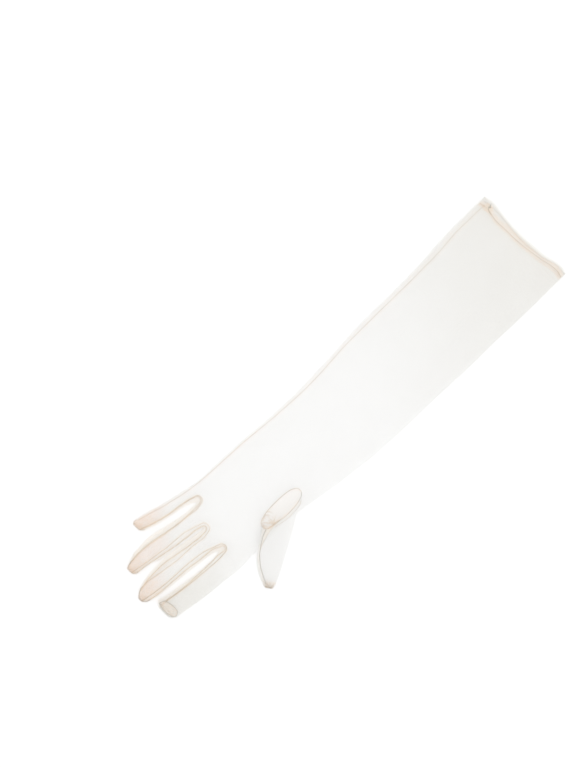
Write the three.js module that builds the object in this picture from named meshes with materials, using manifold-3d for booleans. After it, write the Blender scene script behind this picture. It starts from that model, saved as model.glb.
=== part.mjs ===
// A long evening glove of sheer net for the left hand, lying flat with its palm up.
// Millimetres. +Z is up, +Y runs from the fingertips to the cuff, +X is the thumb's side.
//
// One piece of net, folded along the thumb side, makes palm, back and sleeve. Its edges are
// sewn along the little finger's side. Folded strips are let in between the fingers, the
// thumb is sewn into an oval hole in the palm, and the cuff is turned over and stitched.
import * as THREE from 'three';
import { mergeVertices } from 'three/addons/utils/BufferGeometryUtils.js';
import Module from 'manifold-3d';

const wasm = await Module();
wasm.setup();

// Driving dimensions
const WALL = 1.0;             // one layer of net
const GAP = 0.3;              // clearance between neighbouring pieces
const SEAM_WIDTH = 1.3;       // a seam's bound edge, seen from above
const SEAM_RIDGE = 0.5;       // how far a seam stands proud of the net
const HEM_DEPTH = 7.4;        // turned cuff, from its edge to its lower stitching
const HEM_EXTRA = 0.4;        // the turned layer adds this to both faces
const TALL = 40;              // half height of the upright cutters
const REACH = 300;            // cutters run this far out, past the whole glove
const BOX_CENTRE = { x: 0.33, y: 0 };

// How each flattened tube is drawn: the height of the round fold at its sides, the spacing
// of its sections, and the points on each side and across its top.
const SLEEVE_FORM = { edge: 6.0, step: 18, sidePoints: 4, crownPoints: 7, creased: true };
const FINGER_FORM = { edge: 5.2, step: 11, sidePoints: 3, crownPoints: 3 };
const THUMB_FORM = { edge: 4.6, step: 11, sidePoints: 3, crownPoints: 3, closedStart: true };
const END_ZONE = 12;          // over this length a grown tube's closed end moves with its skin
const FOLD_LIMIT = { ofRise: 0.44, ofWidth: 0.3 };  // the most that a round fold's radius may be

// Turns rows of numbers into rows with named columns.
function table(columns, rows) {
  return rows.map((row) => Object.fromEntries(columns.map((name, i) => [name, row[i]])));
}

// Sleeve and palm: the two side edges and the height, from above the cuff to the knuckles.
const SLEEVE = table(['along', 'left', 'right', 'rise'], [
  [262, -51.0, 55.0, 9.6],
  [236, -51.5, 54.6, 9.4],
  [206, -51.9, 54.5, 9.0],
  [186, -51.2, 54.0, 8.9],
  [166, -49.6, 53.2, 8.8],
  [121, -48.9, 52.6, 8.6],
  [76, -49.5, 50.9, 8.4],
  [56, -48.4, 50.5, 8.3],
  [36, -47.3, 50.0, 8.2],
  [16, -46.5, 48.9, 8.2],
  [-4, -46.0, 47.6, 8.2],
  [-24, -46.4, 45.1, 8.3],
  [-44, -47.4, 42.6, 8.4],
  [-79, -50.4, 36.6, 8.6],
  [-109, -51.7, 32.1, 8.6],
  [-136, -53.1, 33.0, 8.3],
  [-148, -55.2, 33.6, 7.8],
]);

// Each finger: its two side edges and height, from inside the palm to its tip.
const FINGERS = {
  little: table(['along', 'left', 'right', 'rise'], [
    [-129, -51.0, -33.0, 7.2],
    [-142, -54.3, -38.0, 7.3],
    [-150, -56.1, -40.0, 7.3],
    [-156, -57.3, -42.5, 7.2],
    [-174, -61.6, -46.5, 7.0],
    [-192, -66.5, -51.0, 6.4],
    [-199, -68.0, -53.4, 5.6],
    [-204, -69.2, -56.0, 4.6],
    [-206.8, -68.0, -59.0, 3.4],
  ]),
  ring: table(['along', 'left', 'right', 'rise'], [
    [-129, -47.0, -14.0, 7.3],
    [-142, -42.5, -14.5, 7.5],
    [-150, -39.6, -15.2, 7.5],
    [-163, -39.8, -18.4, 7.4],
    [-184, -44.0, -22.1, 7.2],
    [-204, -48.3, -24.2, 6.9],
    [-212, -48.4, -25.0, 6.7],
    [-219, -47.8, -28.4, 6.3],
    [-227, -47.3, -30.2, 5.8],
    [-234, -45.3, -31.0, 5.0],
    [-238.5, -43.6, -32.4, 4.2],
    [-240.6, -42.0, -34.8, 3.2],
  ]),
  middle: table(['along', 'left', 'right', 'rise'], [
    [-129, -24.0, 13.0, 7.4],
    [-144, -21.0, 12.0, 7.6],
    [-158, -19.6, 10.3, 7.6],
    [-163, -17.8, 9.2, 7.5],
    [-172, -19.1, 5.8, 7.4],
    [-184, -21.3, 4.1, 7.3],
    [-209, -23.8, 1.0, 7.0],
    [-229, -23.3, -1.0, 6.4],
    [-237, -22.2, -2.2, 5.8],
    [-245, -20.3, -4.2, 5.0],
    [-250, -17.1, -6.6, 4.2],
    [-253, -14.0, -10.0, 3.2],
  ]),
  index: table(['along', 'left', 'right', 'rise'], [
    [-129, 2.0, 32.3, 7.4],
    [-144, 4.0, 33.0, 7.6],
    [-158, 5.6, 34.0, 7.6],
    [-166, 7.5, 34.0, 7.5],
    [-170, 9.0, 33.7, 7.4],
    [-184, 9.3, 31.8, 7.3],
    [-199, 7.8, 30.5, 7.1],
    [-219, 4.3, 27.6, 6.7],
    [-229, 3.0, 25.8, 6.2],
    [-236, 1.5, 24.6, 5.6],
    [-240.5, 0.8, 23.5, 4.8],
    [-244.2, 5.0, 18.3, 3.6],
  ]),
};

// Where the strip between two fingers is sewn in: a U around the gap, its two legs running
// down to the two fingertips.
const GAP_STEP = 9;           // spacing of the points along a leg
const CROWN_CHORDS = 8;       // chords in the arc that joins the two legs
const FINGER_GAPS = {
  little_ring: {
    crown: -143,
    legs: table(['along', 'left', 'right'], [
      [-146, -44.2, -35.6],
      [-156, -46.4, -34.2],
      [-174, -49.2, -36.0],
      [-192, -53.6, -38.8],
      [-206, -58.5, -41.6],
      [-222, -60.0, -43.0],
      [-236, -60.0, -41.8],
      [-262, -60.0, -40.0],
    ]),
  },
  ring_middle: {
    crown: -157,
    legs: table(['along', 'left', 'right'], [
      [-160.5, -20.4, -11.8],
      [-166, -22.4, -9.9],
      [-178, -24.2, -10.4],
      [-198, -26.6, -13.2],
      [-218, -31.0, -17.2],
      [-236, -33.6, -19.0],
      [-247, -35.0, -17.6],
      [-262, -35.0, -15.2],
    ]),
  },
  middle_index: {
    crown: -159,
    legs: table(['along', 'left', 'right'], [
      [-162.5, 4.6, 13.6],
      [-169, 1.6, 14.3],
      [-184, -1.0, 13.6],
      [-204, -3.5, 12.2],
      [-224, -4.8, 9.2],
      [-238, -6.0, 7.0],
      [-250, -8.2, 6.6],
      [-262, -9.0, 6.6],
    ]),
  },
};

// The thumb, in a frame of its own that points from the palm's hole to the thumb's tip.
// lift and fall are the heights of its underside at the palm's side and at the far side:
// it lies over the palm and comes down to the table past the hand's edge.
const THUMB_ROOT = { x: 22, y: -94 };
const THUMB_TURN = THREE.MathUtils.degToRad(34.5);
const THUMB = table(['along', 'left', 'right', 'lift', 'fall', 'rise'], [
  [16, 3.0, 14.6, 9.0, 8.8, 2.6],
  [12, -1.0, 15.4, 9.0, 8.8, 3.8],
  [6, -6.0, 15.0, 9.1, 8.6, 4.8],
  [-2, -10.8, 13.4, 9.1, 8.2, 5.6],
  [-10, -16.4, 12.8, 9.1, 7.6, 6.0],
  [-20, -17.2, 12.2, 9.0, 6.4, 6.2],
  [-32, -17.0, 11.0, 8.4, 4.4, 6.2],
  [-43, -16.7, 10.0, 6.2, 2.4, 6.0],
  [-54, -15.9, 9.0, 2.6, 0.7, 5.8],
  [-63, -13.8, 8.0, 0.5, 0.0, 5.5],
  [-70, -10.8, 6.9, 0.0, 0.0, 5.0],
  [-75.5, -7.2, 5.4, 0.0, 0.0, 4.2],
  [-78.4, -4.4, 4.2, 0.0, 0.0, 3.4],
]);

// The thumb's hole in the palm, a long oval with nearly straight sides
const HOLE = { x: 21.6, y: -95, halfWidth: 8.6, halfLength: 26, squareness: 2.5 };
const HOLE_SIDES = 28;
const HOLE_CUT = 2.2;         // the palm is cut from this far below the thumb's gathered base
const HOLE_SEAM_LOW = 3;      // the oval seam is in the upper layer, above this height
const PUCKERS = { count: 22, height: 0.7, spread: 0.9 };
// The gathered base of the thumb: how far each ring lies inside the seam, and its height
const THUMB_BASE = table(['inset', 'height'], [
  [0, 5.6],
  [0, 8.4],
  [1.6, 9.4],
  [4.2, 9.9],
]);
const BASE_CROWN = 0.2;       // the base's middle stands this far above its last ring
const THROAT = { halfWidth: 5.4, halfLength: 17, top: 11 };

// Seam lines, seen from above, each drawn as a smooth band with this many steps
const SIDE_SEAM_STEPS = 28;
const SIDE_SEAM_LOW = 2.2;    // the side seam lies on the upper layer only
const THUMB_SEAM_STEPS = 14;
const SIDE_SEAM = table(['x', 'y'], [
  [-46.3, 243], [-47.3, 206], [-45.0, 181], [-44.5, 146], [-45.8, 96], [-45.4, 56],
  [-43.0, 21], [-42.6, -4], [-45.0, -44], [-48.3, -76], [-49.6, -104], [-50.9, -129],
  [-53.6, -150], [-59.1, -174], [-64.0, -190], [-66.8, -200],
]);
const THUMB_SEAM = table(['across', 'along'], [
  [-14.4, -22], [-14.6, -34], [-14.3, -48], [-11.2, -61], [-6.8, -70], [-4.6, -75],
]);

// The thumb's seam lies on its upper half: from this share of its height, with room around
const THUMB_UPPER = { from: 0.55, beside: 4, above: 6 };

// The cuff's edge, seen from above: slightly hollow, with a small raised corner each side
const CUFF_STEPS = 22;
const CUFF_EDGE = table(['x', 'y'], [
  [-62, 249], [-51, 249.2], [-41, 250.4], [-31, 249], [-14, 247.3], [1, 247.1], [16, 248.1],
  [31, 249.6], [41, 252.4], [46, 253], [54, 251.8], [62, 251.6],
]);

// A corner of the index fingertip is turned back over the palm side.
const TIP_FLAP = table(['x', 'y'], [
  [10.5, -243.2], [21.6, -241.6], [22.6, -238], [20, -234.2], [15.4, -234.6],
]);
const TIP_FLAP_TOP = 5.8;
const TIP_FLAP_THICK = 2.6;

// Soft creases in the upper layer: a ridge or a dent along a short line
const CREASES = table(['x', 'y', 'turn', 'length', 'width', 'height'], [
  [8, -58, 62, 26, 9, 0.7],
  [-14, -30, 20, 30, 11, -0.6],
  [20, 4, -18, 34, 13, 0.6],
  [-22, 62, 35, 40, 14, 0.5],
  [14, 112, -30, 44, 15, -0.5],
  [-16, 176, 24, 42, 15, 0.6],
  [24, 206, -40, 36, 14, -0.5],
  [2, -118, 80, 24, 9, -0.5],
]);

// Solids

function solidOf(geometry) {
  const bare = geometry.clone();
  bare.deleteAttribute('normal');
  bare.deleteAttribute('uv');
  const welded = mergeVertices(bare);
  return new wasm.Manifold(new wasm.Mesh({
    numProp: 3,
    vertProperties: new Float32Array(welded.attributes.position.array),
    triVerts: new Uint32Array(welded.index.array),
  }));
}

function geometryOf(solid) {
  const mesh = solid.getMesh();
  const geometry = new THREE.BufferGeometry();
  const points = new Float32Array(mesh.vertProperties.length / mesh.numProp * 3);
  for (let i = 0; i < points.length; i += 1) {
    points[i] = mesh.vertProperties[Math.floor(i / 3) * mesh.numProp + i % 3];
  }
  geometry.setAttribute('position', new THREE.BufferAttribute(points, 3));
  geometry.setIndex(new THREE.BufferAttribute(new Uint32Array(mesh.triVerts), 1));
  geometry.computeVertexNormals();
  return geometry;
}

// A surface from its points and the numbers of each triangle's three corners
function surfaceOf(points, faces) {
  const places = points.flatMap((p) => p.toArray());
  const geometry = new THREE.BufferGeometry();
  geometry.setAttribute('position', new THREE.Float32BufferAttribute(places, 3));
  geometry.setIndex(faces);
  return geometry;
}

const joined = (solids) => solids.reduce((whole, next) => whole.add(next));

// An upright cutter with the outline given in plan
function prism(points, low = -TALL, high = TALL) {
  const outline = new THREE.Shape(points.map((p) => new THREE.Vector2(p.x, p.y)));
  const geometry = new THREE.ExtrudeGeometry(outline, { depth: high - low, bevelEnabled: false });
  geometry.translate(0, 0, low);
  return solidOf(geometry);
}

function block(low, high) {
  const geometry = new THREE.BoxGeometry(high[0] - low[0], high[1] - low[1], high[2] - low[2]);
  geometry.translate((low[0] + high[0]) / 2, (low[1] + high[1]) / 2, (low[2] + high[2]) / 2);
  return solidOf(geometry);
}

// A smooth reading of a table at any place along it
function reader(rows, by = 'along') {
  const columns = Object.keys(rows[0]).filter((name) => name !== by);
  const sign = Math.sign(rows.at(-1)[by] - rows[0][by]);
  const places = rows.map((row) => row[by] * sign);
  const values = rows.flatMap((row) => columns.map((name) => row[name]));
  const curve = new THREE.CubicInterpolant(places, values, columns.length, []);
  return (place) => {
    const found = curve.evaluate(place * sign);
    return Object.fromEntries(columns.map((name, i) => [name, found[i]]));
  };
}

// Places along a table, each of its rows and some between them
function stations(rows, step, by = 'along') {
  const places = [rows[0][by]];
  for (let i = 1; i < rows.length; i += 1) {
    const from = rows[i - 1][by];
    const to = rows[i][by];
    const parts = Math.max(1, Math.round(Math.abs(to - from) / step));
    for (let k = 1; k <= parts; k += 1) {
      places.push(from + (to - from) * k / parts);
    }
  }
  return places;
}

// The height that the creases add at a place on the upper layer
function creaseAt(x, y) {
  let height = 0;
  for (const crease of CREASES) {
    const turn = THREE.MathUtils.degToRad(crease.turn);
    const dx = x - crease.x;
    const dy = y - crease.y;
    const along = (dx * Math.cos(turn) + dy * Math.sin(turn)) / crease.length;
    const across = (dy * Math.cos(turn) - dx * Math.sin(turn)) / crease.width;
    height += crease.height * Math.exp(-along * along - across * across);
  }
  return height;
}

// One section of a flattened tube: flat below, round at both sides, softly crowned on top
function section(size, y, grow, { edge, sidePoints, crownPoints, creased }) {
  const left = size.left - grow;
  const right = size.right + grow;
  const lift = size.lift ?? 0;
  const fall = size.fall ?? 0;
  const rise = size.rise + 2 * grow;
  const widest = (right - left) * FOLD_LIMIT.ofWidth;
  const r = Math.min(edge / 2 + grow, rise * FOLD_LIMIT.ofRise, widest);
  const points = [];
  const angles = Array.from({ length: sidePoints }, (_, i) => Math.PI * (i / (sidePoints - 1) - 0.5));
  for (const angle of angles) {
    points.push([left + r - r * Math.cos(angle), r + r * Math.sin(angle)]);
  }
  for (let i = 1; i <= crownPoints; i += 1) {
    const u = 2 * i / (crownPoints + 1) - 1;
    const x = (left + right) / 2 + u * ((right - left) / 2 - r);
    const fold = creased ? creaseAt(x, y) * (1 - u ** 4) : 0;
    points.push([x, 2 * r + (rise - 2 * r) * (1 - u * u) + fold]);
  }
  for (const angle of angles.reverse()) {
    points.push([right - r + r * Math.cos(angle), r + r * Math.sin(angle)]);
  }
  return points.map(([x, z]) => {
    const slope = (x - size.left) / (size.right - size.left);
    return new THREE.Vector3(x, y, z - grow + lift + (fall - lift) * slope);
  });
}

// A closed tube through sections. grow moves its skin outwards, or inwards where negative.
function flatTube(rows, grow, form) {
  const sizeAt = reader(rows);
  const first = rows[0].along;
  const tip = rows.at(-1).along;
  const onward = grow * Math.sign(tip - first);
  const nearness = (y, end) => Math.max(0, 1 - Math.abs(y - end) / END_ZONE);
  const places = stations(rows, form.step).map((y) => {
    const back = form.closedStart ? nearness(y, first) : 0;
    return y + onward * (nearness(y, tip) - back);
  });
  const within = (y) => Math.min(Math.max(y, Math.min(first, tip)), Math.max(first, tip));
  const rings = places.map((y) => section(sizeAt(within(y)), y, grow, form));
  const count = rings[0].length;
  const points = rings.flat();
  const faces = [];
  for (let i = 0; i < rings.length - 1; i += 1) {
    for (let k = 0; k < count; k += 1) {
      const a = i * count + k;
      const b = i * count + (k + 1) % count;
      faces.push(a, b + count, b, a, a + count, b + count);
    }
  }
  for (const end of [0, rings.length - 1]) {
    const sum = rings[end].reduce((total, p) => total.add(p), new THREE.Vector3());
    points.push(sum.divideScalar(count));
    for (let k = 0; k < count; k += 1) {
      const a = end * count + k;
      const b = end * count + (k + 1) % count;
      faces.push(...(end === 0 ? [points.length - 1, a, b] : [points.length - 1, b, a]));
    }
  }
  return surfaceOf(points, faces);
}

// Palm, sleeve and fingers as one soft body
function handBody(grow) {
  const sleeve = flatTube(SLEEVE, grow, SLEEVE_FORM);
  const fingers = Object.values(FINGERS).map((rows) => flatTube(rows, grow, FINGER_FORM));
  return joined([sleeve, ...fingers].map(solidOf));
}

// The U around a finger gap, widened on every side
function gapCutter(gap, widen) {
  const legAt = reader(gap.legs);
  const places = stations(gap.legs, GAP_STEP);
  const top = gap.legs[0];
  const half = (top.right - top.left) / 2 + widen;
  const high = gap.crown - top.along + widen;
  const middle = (top.right + top.left) / 2;
  const arc = [];
  for (let i = 1; i < CROWN_CHORDS; i += 1) {
    const angle = Math.PI * i / CROWN_CHORDS;
    arc.push({ x: middle - half * Math.cos(angle), y: top.along + high * Math.sin(angle) });
  }
  const left = places.map((y) => ({ x: legAt(y).left - widen, y }));
  const right = places.map((y) => ({ x: legAt(y).right + widen, y }));
  return prism([...left.reverse(), ...arc, ...right]);
}

// A band of one width along a line in plan
function bandCutter(line, width, steps) {
  const curve = new THREE.SplineCurve(line.map((p) => new THREE.Vector2(p.x, p.y)));
  const sides = { left: [], right: [] };
  for (let i = 0; i <= steps; i += 1) {
    const p = curve.getPoint(i / steps);
    const t = curve.getTangent(i / steps);
    sides.left.push({ x: p.x - t.y * width / 2, y: p.y + t.x * width / 2 });
    sides.right.push({ x: p.x + t.y * width / 2, y: p.y - t.x * width / 2 });
  }
  return prism([...sides.left, ...sides.right.reverse()]);
}

// Everything on the finger side of a line that runs a set depth below the cuff's edge
function belowCuff(depth) {
  const edge = new THREE.SplineCurve(CUFF_EDGE.map((p) => new THREE.Vector2(p.x, p.y - depth)));
  const points = edge.getPoints(CUFF_STEPS).map((p) => ({ x: p.x, y: p.y }));
  const before = [{ x: -REACH, y: -REACH }, { x: -REACH, y: points[0].y }];
  const after = [{ x: REACH, y: points.at(-1).y }, { x: REACH, y: -REACH }];
  return prism([...before, ...points, ...after].reverse());
}

// A point of the thumb hole's oval, moved inwards by inset
function holePoint(angle, inset, shape = HOLE) {
  const power = 2 / HOLE.squareness;
  const bend = (value) => Math.sign(value) * Math.abs(value) ** power;
  return {
    x: HOLE.x + (shape.halfWidth - inset) * bend(Math.cos(angle)),
    y: HOLE.y + (shape.halfLength - inset) * bend(Math.sin(angle)),
  };
}

const around = (make) => Array.from({ length: HOLE_SIDES }, (_, i) => make(2 * Math.PI * i / HOLE_SIDES));
const holeCutter = (inset, low, high) => prism(around((angle) => holePoint(angle, inset)), low, high);

// The thumb's gathered base: rings that step inwards, puckered at the end nearest the fingers
function thumbBase(inward, drop) {
  const rings = THUMB_BASE.map((ring) => around((angle) => {
    const p = holePoint(angle, ring.inset + inward);
    const near = Math.exp(-(((angle - 1.5 * Math.PI) / PUCKERS.spread) ** 2));
    const pucker = ring.inset > 0 ? PUCKERS.height * near * Math.cos(PUCKERS.count * angle) : 0;
    return new THREE.Vector3(p.x, p.y, ring.height + pucker - drop);
  }));
  const points = rings.flat();
  const faces = [];
  for (let i = 0; i < rings.length - 1; i += 1) {
    for (let k = 0; k < HOLE_SIDES; k += 1) {
      const a = i * HOLE_SIDES + k;
      const b = i * HOLE_SIDES + (k + 1) % HOLE_SIDES;
      faces.push(a, b, b + HOLE_SIDES, a, b + HOLE_SIDES, a + HOLE_SIDES);
    }
  }
  const last = (rings.length - 1) * HOLE_SIDES;
  points.push(new THREE.Vector3(HOLE.x, HOLE.y, THUMB_BASE[0].height - drop));
  points.push(new THREE.Vector3(HOLE.x, HOLE.y, THUMB_BASE.at(-1).height + BASE_CROWN - drop));
  for (let k = 0; k < HOLE_SIDES; k += 1) {
    const next = (k + 1) % HOLE_SIDES;
    faces.push(points.length - 2, next, k);
    faces.push(points.length - 1, last + k, last + next);
  }
  return solidOf(surfaceOf(points, faces));
}

// From the thumb's own frame to the glove's
const thumbPlace = new THREE.Matrix4()
  .makeTranslation(THUMB_ROOT.x, THUMB_ROOT.y, 0)
  .multiply(new THREE.Matrix4().makeRotationZ(THUMB_TURN));

function thumbTube(grow) {
  return solidOf(flatTube(THUMB, grow, THUMB_FORM).applyMatrix4(thumbPlace));
}

// The pieces

const outer = handBody(0);
const inner = handBody(-WALL);
const proud = handBody(SEAM_RIDGE).subtract(block([-REACH, -REACH, -TALL], [REACH, REACH, 0]));
const shell = outer.subtract(inner);

const seamHalf = SEAM_WIDTH / 2;
const clear = seamHalf + GAP;

function makeTrank() {
  let cloth = shell.intersect(belowCuff(HEM_DEPTH + GAP));
  for (const gap of Object.values(FINGER_GAPS)) {
    cloth = cloth.subtract(gapCutter(gap, clear));
  }
  cloth = cloth.subtract(holeCutter(-clear, THUMB_BASE[0].height - HOLE_CUT, TALL));
  const flap = prism(TIP_FLAP, TIP_FLAP_TOP - TIP_FLAP_THICK, TIP_FLAP_TOP);
  return cloth.add(flap);
}

const makeFourchette = (gap) => shell.intersect(gapCutter(gap, -clear));

function makeFingerSeam(gap) {
  const band = gapCutter(gap, seamHalf).subtract(gapCutter(gap, -seamHalf));
  return proud.subtract(inner).intersect(band);
}

function makeCuffHem() {
  const thick = handBody(HEM_EXTRA).subtract(handBody(-WALL - HEM_EXTRA));
  const band = belowCuff(0).subtract(belowCuff(HEM_DEPTH));
  return thick.subtract(block([-REACH, -REACH, -TALL], [REACH, REACH, 0])).intersect(band);
}

function makeSideSeam() {
  const skin = handBody(GAP + SEAM_RIDGE).subtract(handBody(GAP));
  const upper = block([-REACH, -REACH, SIDE_SEAM_LOW], [REACH, REACH, TALL]);
  const band = bandCutter(SIDE_SEAM, SEAM_WIDTH, SIDE_SEAM_STEPS);
  return skin.intersect(band).intersect(upper).intersect(belowCuff(HEM_DEPTH + GAP));
}

function makeHoleSeam() {
  const wide = holeCutter(-seamHalf, HOLE_SEAM_LOW, TALL);
  const band = wide.subtract(holeCutter(seamHalf, HOLE_SEAM_LOW, TALL));
  return proud.subtract(inner).intersect(band);
}

function makeThumb() {
  const cloth = thumbBase(clear, 0).add(thumbTube(0));
  const throat = prism(around((angle) => holePoint(angle, 0, THROAT)), 0, THROAT.top);
  const hollow = joined([thumbBase(clear + WALL, WALL), thumbTube(-WALL), throat]);
  return cloth.subtract(hollow);
}

function makeThumbSeam() {
  const line = THUMB_SEAM.map((row) => {
    const p = new THREE.Vector3(row.across, row.along, 0).applyMatrix4(thumbPlace);
    return { x: p.x, y: p.y };
  });
  const skin = thumbTube(GAP + SEAM_RIDGE).subtract(thumbTube(GAP));
  const under = thumbTube(0);
  const raised = skin.intersect(bandCutter(line, SEAM_WIDTH, THUMB_SEAM_STEPS));
  return raised.subtract(under).intersect(upperHalfOfThumb());
}

// The space above the middle of the thumb's thickness
function upperHalfOfThumb() {
  const rows = THUMB.map((row) => ({
    ...row,
    left: row.left - THUMB_UPPER.beside,
    right: row.right + THUMB_UPPER.beside,
    lift: row.lift + row.rise * THUMB_UPPER.from,
    fall: row.fall + row.rise * THUMB_UPPER.from,
    rise: row.rise + THUMB_UPPER.above,
  }));
  return solidOf(flatTube(rows, 0, THUMB_FORM).applyMatrix4(thumbPlace));
}

// The glove

const glove = new THREE.Group();
glove.position.set(-BOX_CENTRE.x, -BOX_CENTRE.y, 0);

const net = { color: 0xf3f0ea, roughness: 0.85, metalness: 0 };
const doubledNet = { color: 0xeadfd2, roughness: 0.85, metalness: 0 };
const thread = { color: 0xd9b992, roughness: 0.7, metalness: 0 };

function addPiece(group, name, solid, look) {
  const mesh = new THREE.Mesh(geometryOf(solid), new THREE.MeshStandardMaterial(look));
  mesh.name = name;
  group.add(mesh);
}

const sleevePieces = new THREE.Group();
addPiece(sleevePieces, 'trank', makeTrank(), net);
addPiece(sleevePieces, 'cuff_hem', makeCuffHem(), doubledNet);
addPiece(sleevePieces, 'side_seam', makeSideSeam(), thread);
glove.add(sleevePieces);

const fingerPieces = new THREE.Group();
for (const [name, gap] of Object.entries(FINGER_GAPS)) {
  addPiece(fingerPieces, `fourchette_${name}`, makeFourchette(gap), doubledNet);
  addPiece(fingerPieces, `finger_seam_${name}`, makeFingerSeam(gap), thread);
}
glove.add(fingerPieces);

const thumbPieces = new THREE.Group();
addPiece(thumbPieces, 'thumb', makeThumb(), net);
addPiece(thumbPieces, 'thumb_hole_seam', makeHoleSeam(), thread);
addPiece(thumbPieces, 'thumb_seam', makeThumbSeam(), thread);
glove.add(thumbPieces);

export default glove;
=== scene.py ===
"""A long evening glove of sheer net for the left hand, lying on its back with the palm up."""
import math

import bpy
import numpy as np
from mathutils import Matrix, Vector, geometry, kdtree, noise
from mathutils.bvhtree import BVHTree


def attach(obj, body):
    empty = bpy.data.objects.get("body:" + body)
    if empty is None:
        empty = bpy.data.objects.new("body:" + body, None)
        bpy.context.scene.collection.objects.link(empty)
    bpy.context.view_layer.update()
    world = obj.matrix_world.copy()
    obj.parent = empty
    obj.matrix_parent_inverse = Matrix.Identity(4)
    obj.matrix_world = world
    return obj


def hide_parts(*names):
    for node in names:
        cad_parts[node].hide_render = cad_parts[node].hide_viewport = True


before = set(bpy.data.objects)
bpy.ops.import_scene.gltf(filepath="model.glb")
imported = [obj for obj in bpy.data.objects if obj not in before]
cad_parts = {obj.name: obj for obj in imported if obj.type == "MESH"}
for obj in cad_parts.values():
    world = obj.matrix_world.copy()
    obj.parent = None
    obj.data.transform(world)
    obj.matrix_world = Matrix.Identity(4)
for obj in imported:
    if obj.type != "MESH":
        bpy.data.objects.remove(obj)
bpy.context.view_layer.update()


# The main piece of net
# Palm, back, sleeve and the faces of the four fingers are one piece of fine hexagonal net,
# folded along the thumb's side and sewn along the little finger's. It lies flat, and its own
# spring holds its two layers a little apart.

MM = 0.001
CENTRE = 0.33  # mm from the frame's middle line to the tables' middle line

# Sleeve and palm, from above the cuff to the knuckles: along, left edge, right edge, height
SLEEVE = [
    (262, -51.0, 55.0, 9.6), (236, -51.5, 54.6, 9.4), (206, -51.9, 54.5, 9.0),
    (186, -51.2, 54.0, 8.9), (166, -49.6, 53.2, 8.8), (121, -48.9, 52.6, 8.6),
    (76, -49.5, 50.9, 8.4), (56, -48.4, 50.5, 8.3), (36, -47.3, 50.0, 8.2),
    (16, -46.5, 48.9, 8.2), (-4, -46.0, 47.6, 8.2), (-24, -46.4, 45.1, 8.3),
    (-44, -47.4, 42.6, 8.4), (-79, -50.4, 36.6, 8.6), (-109, -51.7, 32.1, 8.6),
    (-136, -53.1, 33.0, 8.3), (-148, -55.2, 33.6, 7.8),
]

# Each finger, from inside the palm to its tip: along, left edge, right edge, height
LITTLE = [
    (-129, -51.0, -33.0, 7.2), (-142, -54.3, -38.0, 7.3), (-150, -56.1, -40.4, 7.3),
    (-156, -57.3, -43.2, 7.2), (-174, -61.6, -47.3, 7.0), (-192, -66.5, -51.4, 6.4),
    (-199, -68.0, -54.2, 5.6), (-204, -69.2, -56.3, 4.6), (-206.8, -68.0, -59.5, 3.4),
]
RING = [
    (-129, -47.0, -14.0, 7.3), (-142, -42.5, -14.5, 7.5), (-150, -39.6, -15.2, 7.5),
    (-163, -39.8, -18.4, 7.4), (-184, -44.0, -22.1, 7.2), (-204, -48.3, -24.2, 6.9),
    (-212, -48.4, -25.0, 6.7), (-219, -47.8, -28.4, 6.3), (-227, -47.3, -30.2, 5.8),
    (-234, -44.5, -31.0, 5.0), (-238.5, -42.8, -32.4, 4.2), (-240.6, -42.0, -34.8, 3.2),
]
MIDDLE = [
    (-129, -24.0, 13.0, 7.4), (-144, -21.0, 12.0, 7.6), (-158, -19.6, 10.3, 7.6),
    (-163, -17.8, 9.2, 7.5), (-172, -19.1, 5.8, 7.4), (-184, -21.3, 4.1, 7.3),
    (-209, -23.8, 1.0, 7.0), (-229, -23.3, -1.0, 6.4), (-237, -22.2, -2.2, 5.8),
    (-245, -19.7, -4.2, 5.0), (-250, -16.6, -6.6, 4.2), (-253, -14.0, -10.0, 3.2),
]
INDEX = [
    (-129, 2.0, 32.3, 7.4), (-144, 4.0, 33.0, 7.6), (-158, 5.6, 34.0, 7.6),
    (-166, 7.5, 34.0, 7.5), (-170, 9.0, 33.7, 7.4), (-184, 9.3, 31.8, 7.3),
    (-199, 7.8, 30.5, 7.1), (-219, 4.3, 27.6, 6.7), (-229, 3.0, 25.8, 6.2),
    (-236, 1.5, 24.6, 5.6), (-241.0, 0.2, 23.6, 4.8), (-245.0, 5.2, 18.6, 3.6),
]
FINGERS = [LITTLE, RING, MIDDLE, INDEX]
LITTLE_STARTS, INDEX_STARTS = -142, -144  # mm along, where their outer edges leave the palm's
KNUCKLES = -128  # mm along, where the palm starts to pass into the fingers
KNUCKLES_LONG = 16  # mm that this takes

# Where the strip between two fingers is sewn in, a U around the gap on each side of the hand:
# how far along its round end lies, then along, left leg, right leg. The strips are sewn in
# slightly askew, so the palm's U and the back's lie beside each other.
PALM_GAPS = {
    "little_ring": (-142.3, [
        (-146, -44.5, -36.0), (-153, -46.6, -34.8), (-162, -48.6, -36.0), (-174, -50.1, -37.0),
        (-192, -54.5, -39.9), (-206, -59.3, -42.6), (-222, -60.3, -44.0), (-236, -60.3, -42.8),
        (-262, -60.3, -41.0),
    ]),
    "ring_middle": (-156.3, [
        (-160.5, -22.0, -12.1), (-168, -24.6, -11.0), (-176, -27.0, -12.2), (-185, -28.2, -13.1),
        (-198, -29.0, -13.6), (-212, -31.3, -15.6), (-222, -32.6, -17.0), (-236, -35.2, -19.3),
        (-247, -36.6, -17.9), (-262, -36.6, -15.5),
    ]),
    "middle_index": (-158.3, [
        (-162.5, 3.9, 12.9), (-170, 1.0, 13.4), (-176, -1.2, 13.3), (-185, -2.8, 12.5),
        (-200, -4.4, 11.3), (-212, -4.9, 10.0), (-222, -5.5, 8.6), (-238, -7.4, 6.3),
        (-250, -9.6, 5.9), (-262, -10.4, 5.9),
    ]),
}
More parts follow.
